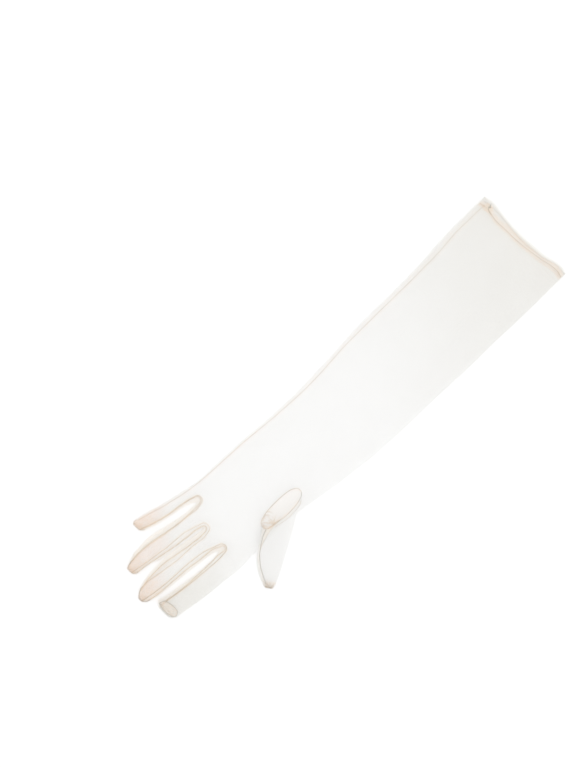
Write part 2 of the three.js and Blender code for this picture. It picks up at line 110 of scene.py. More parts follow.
BACK_GAPS = {
    "little_ring": (-144, [
        (-146.5, -43.8, -37.2), (-153, -46.0, -36.4), (-162, -47.5, -36.7), (-174, -49.4, -37.7),
        (-192, -53.8, -40.5), (-206, -58.6, -43.3), (-222, -59.6, -44.7), (-236, -59.6, -43.5),
        (-262, -59.6, -41.7),
    ]),
    "ring_middle": (-159.4, [
        (-163, -19.9, -14.0), (-170, -21.7, -13.8), (-176, -22.0, -14.5), (-185, -23.3, -15.7),
        (-192, -24.2, -17.1), (-200, -25.7, -18.5), (-212, -28.1, -20.5), (-222, -30.2, -20.8),
        (-236, -32.0, -20.1), (-247, -33.4, -18.7), (-262, -33.4, -16.3),
    ]),
    "middle_index": (-160, [
        (-163.5, 6.2, 11.6), (-170, 2.9, 10.4), (-176, 2.3, 10.4), (-185, 1.4, 10.3),
        (-192, 0.4, 10.2), (-200, -0.9, 9.8), (-212, -1.7, 9.3), (-222, -2.6, 8.2),
        (-238, -3.8, 5.6), (-250, -6.0, 5.2), (-262, -6.8, 5.2),
    ]),
}
# Where the net is turned in at a finger's end and drawn into small pleats: finger, depth in mm
TURNED_ENDS = [(LITTLE, 6.5), (RING, 7.0), (MIDDLE, 8.0)]
END_PLEAT = 1.9  # mm from pleat to pleat

# The thumb's hole in the palm, a long oval with nearly straight sides, its right side drawn in
HOLE = {
    "x": 21.3, "y": -96.2, "half_width": 8.1, "half_length": 24.9, "squareness": 2.5,
    "drawn_in": 1.6,
}
HOLE_POINTS = 90  # the points of its line
WRIST_END, FINGER_END = 20, 71  # and those of them at its two ends, where its thread changes

# The cuff's edge seen from above, slightly hollow, with a small raised corner at each side
CUFF_EDGE = [
    (-62, 249), (-51, 249.2), (-41, 250.4), (-31, 249), (-14, 247.3), (1, 247.1),
    (16, 248.1), (31, 249.6), (41, 252.4), (46, 253), (54, 251.8), (62, 251.6),
]

# Soft ridges and dents of the upper layer: x, y, turn in degrees, length, width, height in mm
CREASES = [
    (8, -58, 62, 26, 9, 0.7), (-14, -30, 20, 30, 11, -0.6), (20, 4, -18, 34, 13, 0.6),
    (-22, 62, 35, 40, 14, 0.5), (14, 112, -30, 44, 15, -0.5), (-16, 176, 24, 42, 15, 0.6),
    (24, 206, -40, 36, 14, -0.5), (2, -118, 80, 24, 9, -0.5),
]

# x, then how far below the cuff's edge the hem's upper and lower stitching, its end and its
# turned-in part's upper edge lie, in mm
HEM = [
    (-60, 3.0, 8.4, 10.2, 5.0), (-38, 2.8, 8.4, 10.3, 5.0), (-30, 1.5, 9.1, 10.8, 4.6),
    (-15, 1.4, 7.4, 9.2, 2.0), (0, 2.3, 6.9, 8.6, 1.8), (15, 2.3, 6.2, 8.0, 1.8),
    (30, 1.4, 5.0, 7.8, 1.8), (45, 1.0, 5.8, 8.8, 1.8), (60, 1.2, 6.0, 8.8, 1.8),
]

FOLD = 3.0  # mm radius of the round fold at the sleeve's sides
FINGER_FOLD = 2.6  # and at the fingers'
FLATTEST = 0.44  # a fold's radius is at most this share of the height there
FOLD_RINGS = (0.22, 0.62, 1.15, 1.85, 2.7)  # mm inside the folded edge
CORNER = 0.9  # mm over which the corners of drawn edges are rounded
SPACING = 1.9  # mm between the net's modelled points
EDGE_STEP = 1.25  # the same along its edges and seams
FINE_SPACING = 0.6  # the same where it is drawn into pleats
GRAIN_TURN = math.radians(7)  # the net's rows are cut at this angle to the sleeve


def reading(rows, column, along):
    """One column of a table, read smoothly at any places along it."""
    rows = np.array(sorted(rows), float)
    place, value = rows[:, 0], rows[:, column]
    slope = np.gradient(value, place)
    along = np.clip(along, place[0], place[-1])
    i = np.clip(np.searchsorted(place, along) - 1, 0, len(place) - 2)
    step = place[i + 1] - place[i]
    t = (along - place[i]) / step
    start = (2 * t**3 - 3 * t**2 + 1) * value[i] + (t**3 - 2 * t**2 + t) * step * slope[i]
    end = (3 * t**2 - 2 * t**3) * value[i + 1] + (t**3 - t**2) * step * slope[i + 1]
    return start + end


def ramp(values, reach):
    """0 where values are 0 or less, rising evenly to 1 at a reach and beyond it."""
    return np.clip(values / reach, 0, 1)


def bell(values):
    """1 where values are 0, falling away smoothly on both sides of it."""
    return np.exp(-(values**2))


def unit(vectors):
    """The same vectors, each 1 long."""
    return vectors / np.linalg.norm(vectors, axis=1)[:, None]


def tree_of(points):
    """A search tree of points in plan."""
    tree = kdtree.KDTree(len(points))
    for i, (x, y) in enumerate(points):
        tree.insert((x, y, 0), i)
    tree.balance()
    return tree


def spaced(line, step):
    """The same line with its points at even distances."""
    line = np.asarray(line, float)
    run = np.append(0, np.cumsum(np.linalg.norm(np.diff(line, axis=0), axis=1)))
    count = max(2, round(run[-1] / step) + 1)
    places = np.linspace(0, run[-1], count)
    return np.stack([np.interp(places, run, line[:, k]) for k in range(line.shape[1])], 1)


def eased(line, reach):
    """The same line with its corners rounded over a reach in mm. Its ends stay."""
    step = 0.4
    line = spaced(line, step)
    half = int(3 * reach / step)
    weight = np.exp(-((np.arange(-half, half + 1) * step / reach) ** 2) / 2)
    weight /= weight.sum()
    before = 2 * line[0] - line[half:0:-1]
    after = 2 * line[-1] - line[-2 : -half - 2 : -1]
    long = np.concatenate([before, line, after])
    return np.stack([np.convolve(long[:, k], weight, "valid") for k in range(2)], 1)


def table_edge(rows, column, start, stop):
    """A table's left or right edge as a line in plan."""
    along = np.arange(start, stop, math.copysign(0.3, stop - start))
    along = np.append(along, stop)
    return np.stack([reading(rows, column, along), along], 1)


def finger_middle(finger, along):
    """Where a finger's middle line lies, at any places along it."""
    return (reading(finger, 1, along) + reading(finger, 2, along)) / 2


def at_end(points, finger, deep):
    """1 at a finger's very end, falling to 0 at a depth from it and beside the finger."""
    x, y = points.T
    beside = np.abs(x - finger_middle(finger, y)) < 12
    return np.clip(1 - (y - finger[-1][0]) / deep, 0, 1) * beside


def crotch(finger, neighbour):
    """How far along the edges of two neighbouring fingers part."""
    along = np.arange(finger[0][0], finger[-1][0], -0.2)
    room = reading(neighbour, 1, along) - reading(finger, 2, along)
    return along[np.argmax(room > 0)]


def folded_outline():
    """The glove's folded edge in plan: down its left side, round the fingertips and up again."""
    above_cuff, top = SLEEVE[0][0], LITTLE_STARTS
    parts = [table_edge(SLEEVE, 1, above_cuff, top)]
    for finger, neighbour in zip(FINGERS, FINGERS[1:] + [None]):
        parts.append(table_edge(finger, 1, top, finger[-1][0]))
        top = crotch(finger, neighbour) if neighbour else INDEX_STARTS
        parts.append(table_edge(finger, 2, finger[-1][0], top))
    parts.append(table_edge(SLEEVE, 2, INDEX_STARTS, above_cuff))
    return eased(np.concatenate(parts), CORNER)


class Edge:
    """A folded edge in plan, to tell how far inside it points lie and which way out is."""

    def __init__(self, line):
        self.line = spaced(line, 0.5)
        self.tangent = unit(np.gradient(self.line, axis=0))
        self.out = np.stack([self.tangent[:, 1], -self.tangent[:, 0]], 1)
        self.tree = tree_of(self.line)

    def depth(self, points):
        """How far inside the edge each point lies, below 0 outside it, and the way out there."""
        near = np.array([self.tree.find((x, y, 0))[1] for x, y in points])
        away = np.asarray(points) - self.line[near]
        slide = np.clip((away * self.tangent[near]).sum(1), -0.3, 0.3)
        distance = np.linalg.norm(away - slide[:, None] * self.tangent[near], axis=1)
        inside = np.where((away * self.out[near]).sum(1) <= 0, 1, -1)
        return distance * inside, self.out[near]


def cuff_at(x, depth=0.0):
    """How far along the cuff's edge lies at x, or a line that runs a depth below it."""
    return reading(CUFF_EDGE, 1, x) - depth


def gap_line(crown, legs):
    """The U around a finger gap, up its left leg, round its end and down its right leg."""
    top, left, right = legs[0]
    along = np.arange(top, legs[-1][0], -1.0)
    turn = np.linspace(math.pi, 0, 24)[1:-1]
    arc = np.stack([
        (left + right + (right - left) * np.cos(turn)) / 2, top + (crown - top) * np.sin(turn)
    ], 1)
    left_leg, right_leg = (np.stack([reading(legs, k, along), along], 1) for k in (1, 2))
    return eased(np.concatenate([left_leg[::-1], arc, right_leg]), 0.8)


def hole_line():
    """The oval of the thumb's hole, from its right side round by the wrist's end."""
    turn = np.linspace(0, 2 * math.pi, HOLE_POINTS, endpoint=False)
    bend = lambda value: np.sign(value) * np.abs(value) ** (2 / HOLE["squareness"])
    across = HOLE["half_width"] * bend(np.cos(turn))
    along = HOLE["half_length"] * bend(np.sin(turn))
    across -= HOLE["drawn_in"] * bell((along + 13) / 7) * (across > 0)
    return np.stack([HOLE["x"] + across, HOLE["y"] + along], 1)


def clipped(line, inset):
    """The part of a line in plan that lies inside the folded edge by at least inset."""
    depth, _ = outline_edge.depth(line)
    kept = np.flatnonzero(depth > inset)
    return line[kept[0] : kept[-1] + 1]


def within(points, line):
    """Which points lie inside a closed line."""
    x, y = np.asarray(points).T
    found = np.zeros(len(x), bool)
    for (ax, ay), (bx, by) in zip(line, np.roll(line, -1, 0)):
        if ay != by:
            crossing = ((ay > y) != (by > y)) & (x < (bx - ax) * (y - ay) / (by - ay) + ax)
            found ^= crossing
    return found


def filled(lines, inside, edge, rings, grids, band=2.2):
    """Triangles that fill a shape in plan: every line, closed where loop is true, becomes a row
    of edges, rings follow the folded edge, and grids of points, each of a spacing and a place,
    fill the rest from a band inside the edge."""
    points, joints = [], []
    for line, loop in lines:
        first = sum(len(p) for p in points)
        points.append(line)
        joints += [(first + i, first + i + 1) for i in range(len(line) - 1)]
        if loop:
            joints.append((first + len(line) - 1, first))
    taken = tree_of(np.concatenate(points))

    def clear(candidates, room):
        return np.array([taken.find((x, y, 0))[2] > room for x, y in candidates], bool)

    ring_edge = spaced(edge.line, EDGE_STEP)
    _, out = edge.depth(ring_edge)
    for ring in rings:
        candidates = ring_edge - out * ring
        depth, _ = edge.depth(candidates)
        kept = (depth > ring * 0.93) & inside(candidates)
        kept[kept] &= clear(candidates[kept], min(0.5, 0.8 * ring))
        points.append(candidates[kept])
    drawn = np.concatenate([line for line, _ in lines])
    low, high = drawn.min(0), drawn.max(0)
    for spacing, wanted in grids:
        across, along = np.meshgrid(
            np.arange(low[0], high[0], spacing), np.arange(low[1], high[1], spacing * 0.866)
        )
        across[::2] += spacing / 2
        grid = np.stack([across.ravel(), along.ravel()], 1)
        grid = grid[wanted(grid)]
        grid = grid[inside(grid)]
        depth, _ = edge.depth(grid)
        grid = grid[depth > band + spacing * 0.5]
        points.append(grid[clear(grid, 0.55 * spacing)])
    found = geometry.delaunay_2d_cdt(
        [Vector(p) for p in np.concatenate(points)], joints, [], 0, 1e-4, False
    )
    plan = np.array([tuple(v) for v in found[0]])
    faces = np.array(found[2])
    faces = faces[inside(plan[faces].mean(1))]
    used, faces_of_used = np.unique(faces, return_inverse=True)
    return plan[used], faces_of_used.reshape(faces.shape)


def sides_of(faces):
    """The three sides of every triangle, as pairs of points."""
    return np.concatenate([faces[:, [0, 1]], faces[:, [1, 2]], faces[:, [2, 0]]])


def rim(faces):
    """Which points lie on edges that only one triangle has."""
    sides, uses = np.unique(np.sort(sides_of(faces), 1), axis=0, return_counts=True)
    return np.unique(sides[uses == 1])


def relaxed(height, faces, free, rounds):
    """Heights evened out between neighbouring points, where free is 1, for soft cloth."""
    sides = sides_of(faces)
    for _ in range(rounds):
        total, count = np.zeros(len(height)), np.zeros(len(height))
        for a, b in (sides.T, sides.T[::-1]):
            np.add.at(total, a, height[b])
            np.add.at(count, a, 1)
        height = height + free * 0.6 * (total / np.maximum(count, 1) - height)
    return height


def billow(points, size, seed):
    """Smooth random heights from -1 to 1 with swells of a size in mm."""
    return np.array([noise.noise((x / size, y / size, seed)) for x, y in points])


def nearness(points, line, reach):
    """1 on a line, falling away smoothly over a reach in mm."""
    tree = tree_of(spaced(line, 0.8))
    away = np.array([tree.find((x, y, 0))[2] for x, y in points])
    return bell(away / reach)


def tube(depth, rise, radius, crown):
    """Heights of the upper and lower layers of a flattened tube: round folds at its sides, flat
    below and softly crowned above."""
    r = np.minimum(radius, FLATTEST * rise)
    inside = np.clip(depth, 0, None)
    fold = np.sqrt(np.clip(r**2 - np.clip(r - inside, 0, None) ** 2, 0, None))
    swell = (rise - 2 * r) * (1 - np.exp(-np.clip(inside - r, 0, None) / crown))
    return r + fold + swell, r - fold


def round_fold(depth, radius):
    """How much further the net runs round a fold than its plan shows, from the point outwards."""
    turned = np.arccos(np.clip(1 - np.clip(depth, 0, radius) / radius, -1, 1))
    return (math.pi / 2 - 1) * radius - (radius * turned - np.clip(depth, 0, radius))


def turned_by(angle, places, shift=0):
    """Places on the net turned by an angle, for a ply whose rows run another way."""
    c, s = math.cos(angle), math.sin(angle)
    return places @ np.array([[c, s], [-s, c]]) + shift


def two_layers(plan, upper, lower, folded):
    """A folded sheet's points: the upper layer's, then the lower layer's, and for each point in
    plan the number of its point below. The layers share their points on the fold."""
    points = np.concatenate([np.column_stack([plan, upper]), np.column_stack([plan, lower])])
    return points, np.arange(len(plan)) + np.where(folded, 0, len(plan))


outline_edge = Edge(folded_outline())
side = outline_edge.line[outline_edge.line[:, 1] < cuff_at(outline_edge.line[:, 0])]
side = spaced(side, EDGE_STEP)
ends = [[side[0, 0], cuff_at(side[0, 0])], [side[-1, 0], cuff_at(side[-1, 0])]]
cuff_x = np.linspace(ends[1][0], ends[0][0], 84)
cuff_line = np.stack([cuff_x, cuff_at(cuff_x)], 1)
outline = np.concatenate([side[1:-1], cuff_line])
oval = hole_line()


def drawn_end(points):
    """How strongly the net is drawn into pleats at points near the fingers' ends."""
    return np.max([at_end(points, finger, deep + 3) for finger, deep in TURNED_ENDS], 0)


palm_gaps = {name: gap_line(*gap) for name, gap in PALM_GAPS.items()}
back_gaps = {name: gap_line(*gap) for name, gap in BACK_GAPS.items()}
seam_lines = [*palm_gaps.values(), *back_gaps.values()]
hem_end = cuff_line - np.stack([0 * cuff_x, reading(HEM, 3, cuff_x)], 1)
hem_lines = [cuff_line - (0, down) for down in (0.35, 0.9, 1.8)] + [hem_end]
plan, faces = filled(
    [(outline, True), (oval, True)]
    + [(line, False) for line in hem_lines]
    + [(spaced(line, EDGE_STEP), False) for line in seam_lines],
    lambda spots: within(spots, outline),
    outline_edge,
    FOLD_RINGS,
    [
        (SPACING, lambda spots: drawn_end(spots) == 0),
        (FINE_SPACING, lambda spots: drawn_end(spots) > 0),
    ],
)

depth, outward = outline_edge.depth(plan)
depth = np.maximum(depth, 0)
lost = rim(faces)
at_cuff = np.zeros(len(plan), bool)
at_cuff[lost] = plan[lost, 1] > cuff_at(plan[lost, 0]) - 0.02
folded = np.zeros(len(plan), bool)
folded[lost] = ~at_cuff[lost]
folded |= at_cuff & (depth < 0.4)
depth[folded] = 0


def finger_share(points):
    """0 in the sleeve and palm, rising to 1 in the fingers."""
    share = ramp(KNUCKLES - points[:, 1], KNUCKLES_LONG)
    return share * share * (3 - 2 * share)


def rise_at(points):
    """The height of the flattened glove at points in plan, from its tables."""
    x, y = points.T
    off = [np.maximum(reading(f, 1, y) - x, x - reading(f, 2, y)) for f in FINGERS]
    finger = np.choose(np.argmin(off, 0), [reading(f, 3, y) for f in FINGERS])
    share = finger_share(points)
    return reading(SLEEVE, 3, y) * (1 - share) + finger * share


def creased(points):
    """The height that the soft creases add to the upper layer."""
    total = np.zeros(len(points))
    for x, y, turn, length, width, height in CREASES:
        away = points - (x, y)
        c, s = math.cos(math.radians(turn)), math.sin(math.radians(turn))
        along, across = away @ (c, s) / length, away @ (-s, c) / width
        total += height * np.exp(-(along**2) - across**2)
    return total


# The sewn side's seam as it shows from above, from the cuff to the little finger's end
SIDE_SEAM = [
    (-46.0, 243), (-46.8, 206), (-44.7, 181), (-44.4, 146), (-45.0, 96), (-45.2, 56),
    (-43.0, 21), (-42.6, -4), (-45.0, -44), (-48.3, -76), (-49.6, -104), (-50.9, -129),
    (-53.6, -150), (-59.1, -174), (-64.0, -190), (-66.8, -200),
]
PUCKERED = 3.2  # mm beside a seam within which the net is puckered

share = finger_share(plan)
radius = FOLD - (FOLD - FINGER_FOLD) * share
upper, lower = tube(depth, rise_at(plan), radius, 13 - 9 * share)
loose = ramp(depth - 1, 5)
near_palm_seams, near_back_seams = (
    np.maximum.reduce([nearness(plan, line, PUCKERED) for line in lines])
    for lines in ([*palm_gaps.values(), eased(SIDE_SEAM, 3), oval], back_gaps.values())
)
upper += loose * creased(plan)
upper += loose * (0.5 * billow(plan * (1, 0.4), 17, 1.5) + 0.22 * billow(plan, 7.5, 4.5))
upper = relaxed(upper, faces, ramp(depth - 1.2, 2), 5)
upper += 0.34 * near_palm_seams * billow(plan, 3.4, 8.5) * ramp(depth, 2)
lower += loose * 0.22 * (1 + billow(plan * (1, 0.5), 15, 11.5))
lower += near_back_seams * (0.6 + 0.2 * billow(plan, 3.4, 14.5)) * ramp(depth, 2)

pleats = np.zeros(len(plan))
for finger, deep in TURNED_ENDS:
    beside = plan[:, 0] - finger_middle(finger, plan[:, 1])
    pleats += np.cos(2 * math.pi * beside / END_PLEAT) * at_end(plan, finger, deep + 3)
pleats *= ramp(depth, 1.2)
upper += 0.35 * pleats
lower += 0.12 * (pleats + drawn_end(plan))

upper[folded] = radius[folded]
points, below = two_layers(plan, upper, lower, folded)

# The net's rows run on round the fold, so the places on the flat net are worked out from it
slip = outward * round_fold(depth, radius)[:, None]
upper_places = turned_by(-GRAIN_TURN, plan + slip)
lower_places = turned_by(-GRAIN_TURN, (plan + slip) * (-1, 1) + (237, 0.4))

upper_faces, lower_faces = faces, below[faces][:, ::-1]
middle = plan[faces].mean(1)
in_palm_gap = {name: within(middle, line) for name, line in palm_gaps.items()}
in_back_gap = {name: within(middle, line) for name, line in back_gaps.items()}
trank_upper = ~(np.any(list(in_palm_gap.values()), 0) | within(middle, oval))
trank_lower = ~np.any(list(in_back_gap.values()), 0)


class Reading:
    """An output of a material's node, which can be used in sums as a number is."""

    def __init__(self, finish, socket):
        self.finish, self.socket = finish, socket

    def made(self, operation, *values):
        return self.finish.add("ShaderNodeMath", {"operation": operation}, dict(enumerate(values)))

    __add__ = __radd__ = lambda self, other: self.made("ADD", self, other)
    __sub__ = lambda self, other: self.made("SUBTRACT", self, other)
    __rsub__ = lambda self, other: self.made("SUBTRACT", other, self)
    __mul__ = __rmul__ = lambda self, other: self.made("MULTIPLY", self, other)
    __truediv__ = lambda self, other: self.made("DIVIDE", self, other)
    __mod__ = lambda self, other: self.made("FLOORED_MODULO", self, other)
    __abs__ = lambda self: self.made("ABSOLUTE", self)
    least = lambda self, other: self.made("MINIMUM", self, other)
    most = lambda self, other: self.made("MAXIMUM", self, other)

    def rising(self, start, end):
        """0 at start and before it, 1 at end and after it."""
        return self.finish.add(
            "ShaderNodeMapRange", {"interpolation_type": "SMOOTHSTEP"}, {0: self, 1: start, 2: end}
        )


class Finish:
    """A material, built node by node."""

    def __init__(self, name):
        self.material = bpy.data.materials.new(name)
        self.material.use_nodes = True
        self.tree = self.material.node_tree
        self.tree.nodes.clear()

    def add(self, kind, settings=None, sockets=None, output=0):
        node = self.tree.nodes.new(kind)
        for key, value in (settings or {}).items():
            setattr(node, key, value)
        for key, value in (sockets or {}).items():
            if isinstance(value, Reading):
                self.tree.links.new(value.socket, node.inputs[key])
            else:
                node.inputs[key].default_value = value
        return Reading(self, node.outputs[output])

    def parts(self, vector):
        split = self.add("ShaderNodeSeparateXYZ", sockets={0: vector})
        return [Reading(self, out) for out in split.socket.node.outputs]

    def mixed(self, share, first, second):
        """A colour between two colours."""
        first, second = (c if isinstance(c, Reading) else (*c, 1) for c in (first, second))
        sockets = {0: share, 6: first, 7: second}
        return self.add("ShaderNodeMix", {"data_type": "RGBA"}, sockets, 2)

    def surface(self, sockets):
        shader = self.add("ShaderNodeBsdfPrincipled", sockets=sockets)
        end = self.tree.nodes.new("ShaderNodeOutputMaterial")
        self.tree.links.new(shader.socket, end.inputs[0])
        return self.material


MESH_WIDE, MESH_TALL = 1.0, 1.12  # a mesh's width in mm, and its height to a regular one's
NET_MM = 100  # mm of the flat net to 1 in the map "net"


def net_finish(name, pale, warm, thread, cuff_weight=0.0, tip_weight=0.0, tint=None):
    """Fine net of six-sided meshes. pale and warm are its thread's colours in the palm and at
    the glove's ends, where the darker, warmer colour is partly the net's own tone and partly
    painted shade. thread is its thread's width in mm, and the weights say how much wider
    that grows towards the cuff and the fingertips. tint is one more colour, and a function
    for how much of it there is at x and y."""
    finish = Finish(name)
    flat = finish.add("ShaderNodeUVMap", {"uv_map": "net"})
    swells = {"Vector": flat, "Scale": 30.0, "Detail": 1.0}
    stretch = finish.add("ShaderNodeTexNoise", {"noise_dimensions": "2D"}, swells, 1)
    drift = finish.parts(stretch)
    u, v, _ = finish.parts(flat)
    u = u * NET_MM / MESH_WIDE + (drift[0] - 0.5) * 0.5
    v = v * NET_MM / (MESH_TALL * MESH_WIDE) + (drift[1] - 0.5) * 0.5
    centres = []
    for shift in (0, 0.5):
        a = abs((u + shift) % 1.0 - 0.5)
        b = abs((v + shift * 3**0.5) % 3**0.5 - 0.5 * 3**0.5)
        centres.append((a * 0.5 + b * (0.75**0.5)).most(a))
    from_thread = (0.5 - centres[0].least(centres[1])) * MESH_WIDE
    spot = finish.add("ShaderNodeTexCoord", output=3)
    patches = {"Vector": spot, "Scale": 38.0, "Detail": 3.0}
    patchy = finish.add("ShaderNodeTexNoise", sockets=patches)
    x, y, _ = finish.parts(spot)
    # The thread darkens and warms towards the cuff and the fingertips, more so on the index
    # finger's side: partly the net's own tone and density, partly painted shade.
    towards_cuff = (y + 0.35 * x).rising(0.0, 0.27)
    towards_tips = (1 - y.rising(-0.25, -0.125)) * (0.55 + 0.75 * x.rising(-0.002, 0.012))
    even = 0.88 + 0.24 * patchy
    width = thread * (even + cuff_weight * towards_cuff + tip_weight * towards_tips)
    solid = 1 - (from_thread / width).rising(0.42, 0.58)
    # Painted shade in part: this mix darkens the glove's ends as well as warming them.
    colour = finish.mixed(towards_cuff.most(towards_tips) * 0.8 + patchy * 0.2, pale, warm)
    if tint:
        colour = finish.mixed(tint[1](x, y + 0.03 * patchy), colour, tint[0])
    rounded = {"Strength": 0.35, "Distance": 0.0001, "Height": (1 - from_thread / width).most(0)}
    return finish.surface({
        "Base Color": colour,
        "Roughness": 0.7,
        "Alpha": solid,
        "Normal": finish.add("ShaderNodeBump", {}, rounded),
        "Sheen Weight": 0.25,
        "Sheen Roughness": 0.4,
    })


def at_peach_ends(x, y):
    """The ends of the little, ring and middle fingers, which are more peach than the palm."""
    return (1 - (x + y).rising(-0.234, -0.202)) * (1 - x.rising(-0.004, 0.003))


net = net_finish(
    "sheer_net", (0.865, 0.863, 0.852), (0.79, 0.775, 0.73), 0.115, 0.48, 0.42,
    ((0.83, 0.73, 0.66), at_peach_ends),
)
turned_net = net_finish("turned_net", (0.93, 0.80, 0.63), (0.90, 0.76, 0.58), 0.085)
pleated_net = net_finish("pleated_net", (0.70, 0.56, 0.42), (0.58, 0.45, 0.32), 0.24)
peach_net = net_finish("peach_net", (0.99, 0.79, 0.60), (0.99, 0.76, 0.55), 0.039)


def gathered(name, plies, materials):
    """One mesh, in metres, of several plies. A ply is its points in mm, its faces, their
    corners' places on the flat net, and its material or a list with one for each face."""
    before = np.cumsum([0] + [len(ply[0]) for ply in plies[:-1]])
    points = np.concatenate([ply[0] for ply in plies])
    faces = np.concatenate([ply[1] + first for ply, first in zip(plies, before)])
    places = np.concatenate([ply[2].reshape(-1, 2) for ply in plies])
    kinds = []
    for _, ply_faces, _, material in plies:
        each = material if isinstance(material, list) else [material] * len(ply_faces)
        kinds += [materials.index(one) for one in each]
    used, inverse = np.unique(faces, return_inverse=True)
    mesh = bpy.data.meshes.new(name)
    moved = (points[used] - (CENTRE, 0, 0)) * MM
    mesh.from_pydata(moved.tolist(), [], inverse.reshape(faces.shape).tolist())
    mesh.uv_layers.new(name="net").data.foreach_set("uv", (places / NET_MM).ravel())
    for material in materials:
        mesh.materials.append(material)
    mesh.polygons.foreach_set("material_index", kinds)
    mesh.polygons.foreach_set("use_smooth", np.ones(len(faces), bool))
    piece = bpy.data.objects.new(name, mesh)
    bpy.context.scene.collection.objects.link(piece)
    return piece


def skin(chosen_upper, chosen_lower):
    """Part of the glove's two layers, as faces and the corners' places on the flat net."""
    chosen = np.concatenate([upper_faces[chosen_upper], lower_faces[chosen_lower]])
    places = [upper_places[faces[chosen_upper]], lower_places[faces[chosen_lower][:, ::-1]]]
    return chosen, np.concatenate(places)


outwards = np.zeros_like(points)
for layer in (upper_faces, lower_faces):
    a, b, c = (points[layer[:, k]] for k in range(3))
    facing = np.cross(b - a, c - a)
    for k in range(3):
        np.add.at(outwards, layer[:, k], facing)
outwards /= np.maximum(np.linalg.norm(outwards, axis=1), 1e-9)[:, None]

DROP = 60  # mm from which lines are dropped on the net
ASIDE = 3  # mm from which a point that misses the net looks for the nearest net
ON_NET, UNDER_NET = 0.12, -0.35  # mm off the net, for thread on it and for raw edges under it


class Layer:
    """One layer of net, to lay lines on from above, or with side -1 from below."""

    def __init__(self, points, faces, side=1):
        self.tree = BVHTree.FromPolygons(points.tolist(), faces.tolist())
        self.side = side

    def laid(self, line, lift):
        """Points of a line in plan, laid on the net and lifted off it, with the way off it."""
        spots, ways = [], []
        for x, y in line:
            spot, way, _, _ = self.tree.ray_cast((x, y, DROP * self.side), (0, 0, -self.side))
            if spot is None:
                spot, way, _, _ = self.tree.find_nearest((x, y, ASIDE * self.side))
            way = way if way.z * self.side > 0 else -way
            spots.append(spot + way * lift)
            ways.append(way)
        return np.array(spots), np.array(ways)


palm_layer = Layer(points, upper_faces)
back_layer = Layer(points, lower_faces, -1)


def woven(rows, places, material):
    """A ply of net through rows of points."""
    high, wide = len(rows), len(rows[0])
    index = np.arange(high * wide).reshape(high, wide)
    a, b, c, d = index[:-1, :-1], index[:-1, 1:], index[1:, 1:], index[1:, :-1]
    halves = [np.stack(corners, -1).reshape(-1, 3) for corners in ((a, b, c), (a, c, d))]
    found = np.concatenate(halves)
    return np.reshape(rows, (-1, 3)), found, places.reshape(-1, 2)[found], material


def turning(layer, line, widths, lift, material=turned_net):
    """A raw edge of net turned in along a seam: a narrow strip beside the line, as a ply."""
    step = 1.3
    line = spaced(line, step)
    along = unit(np.gradient(line, axis=0))
    beside = np.stack([along[:, 1], -along[:, 0]], 1)
    offsets = np.linspace(*widths, 4)
    wave = [noise.noise((i * 0.37, widths[0], lift)) for i in range(len(line))]
    wave = 1 + 0.18 * np.array(wave)
    rows = [layer.laid(line + beside * (offset * wave)[:, None], lift)[0] for offset in offsets]
    run = np.arange(len(line)) * step
    spots = np.stack(np.broadcast_arrays(run[None, :] + 7 * lift, offsets[:, None] + 31 * lift), -1)
    return woven(rows, turned_by(0.52, spots.reshape(-1, 2)), material)


def pleat(layer, start, end, width):
    """A small fold of net drawn up into a ridge from start to end in plan, thinning out."""
    start, end = np.array(start, float), np.array(end, float)
    beside = np.array([end[1] - start[1], start[0] - end[0]]) / np.linalg.norm(end - start)
    share = np.linspace(0, 1, 8)
    half = 0.5 * width * (1 - 0.75 * share)
    bow = 0.4 * np.sin(3 * share + start[0])
    line = start + (end - start) * share[:, None] + beside * bow[:, None]
    rows = [layer.laid(line + beside * (way * half)[:, None], 0.15)[0] for way in (-1, 0, 1)]
    rows[1][:, 2] += 0.3 * (1 - share)
    return woven(rows, turned_by(0.9, np.array(rows)[:, :, :2].reshape(-1, 2)), pleated_net)


def patch(layer, loop, lift, turn, material=turned_net):
    """A ply of net that fills a closed line in plan."""
    spots, found = filled(
        [(spaced(loop, 0.9)[:-1], True)],
        lambda places: within(places, loop),
        outline_edge,
        (),
        [(1.1, lambda places: np.ones(len(places), bool))],
        band=-9,
    )
    laid, _ = layer.laid(spots, lift)
    laid[:, 2] += 0.12 * billow(spots, 2.5, turn)
    return laid, found, turned_by(turn, spots)[found], material


side_line = eased(SIDE_SEAM, 4)
side_depth, side_out = outline_edge.depth(side_line)
side_line = side_line - side_out * np.clip(0.5 - side_depth, 0, None)[:, None]
shell, shell_places = skin(trank_upper, trank_lower)
plies = [
    (points, shell, shell_places, net),
    turning(palm_layer, side_line, (-2.4, 3.6), UNDER_NET, peach_net),
]
for line in palm_gaps.values():
    plies.append(turning(palm_layer, clipped(line, 0.6), (0.3, -0.9), UNDER_NET))
for line in back_gaps.values():
    plies.append(turning(back_layer, clipped(line, 0.6), (0.3, -0.8), UNDER_NET))

# The little, ring and middle fingers' ends are lined with a lighter, warmer net, turned in and
# drawn together in small pleats.
ragged = np.clip(0.2 + 0.35 * billow(middle, 2.6, 5.5), 0.01, 1)
for finger, deep in TURNED_ENDS:
    end = finger[-1][0]
    for inward, turn_by, reach in ((0.4, 0.6, 0.6), (0.7, 1.1, 1.1), (1.05, 0.3, 3.2)):
        at_tip = at_end(middle, finger, reach * deep) > ragged
        ends, end_places = skin(at_tip, at_tip)
        plies.append((points - outwards * inward, ends, turned_by(turn_by, end_places), peach_net))
    left, right = finger[-3][1], finger[-3][2]
    for k, x in enumerate(np.arange(left + 1.2, right - 0.8, 0.75 * END_PLEAT)):
        low = end + 0.8 + 2.4 * abs((x - left) / (right - left) - 0.5) ** 2
        high = low + deep * (0.45 + 0.4 * math.sin(2.7 * k + end) ** 2)
        slide = finger_middle(finger, high) - (left + right) / 2
        plies.append(pleat(palm_layer, (x, low), (x + slide, high), 0.6))

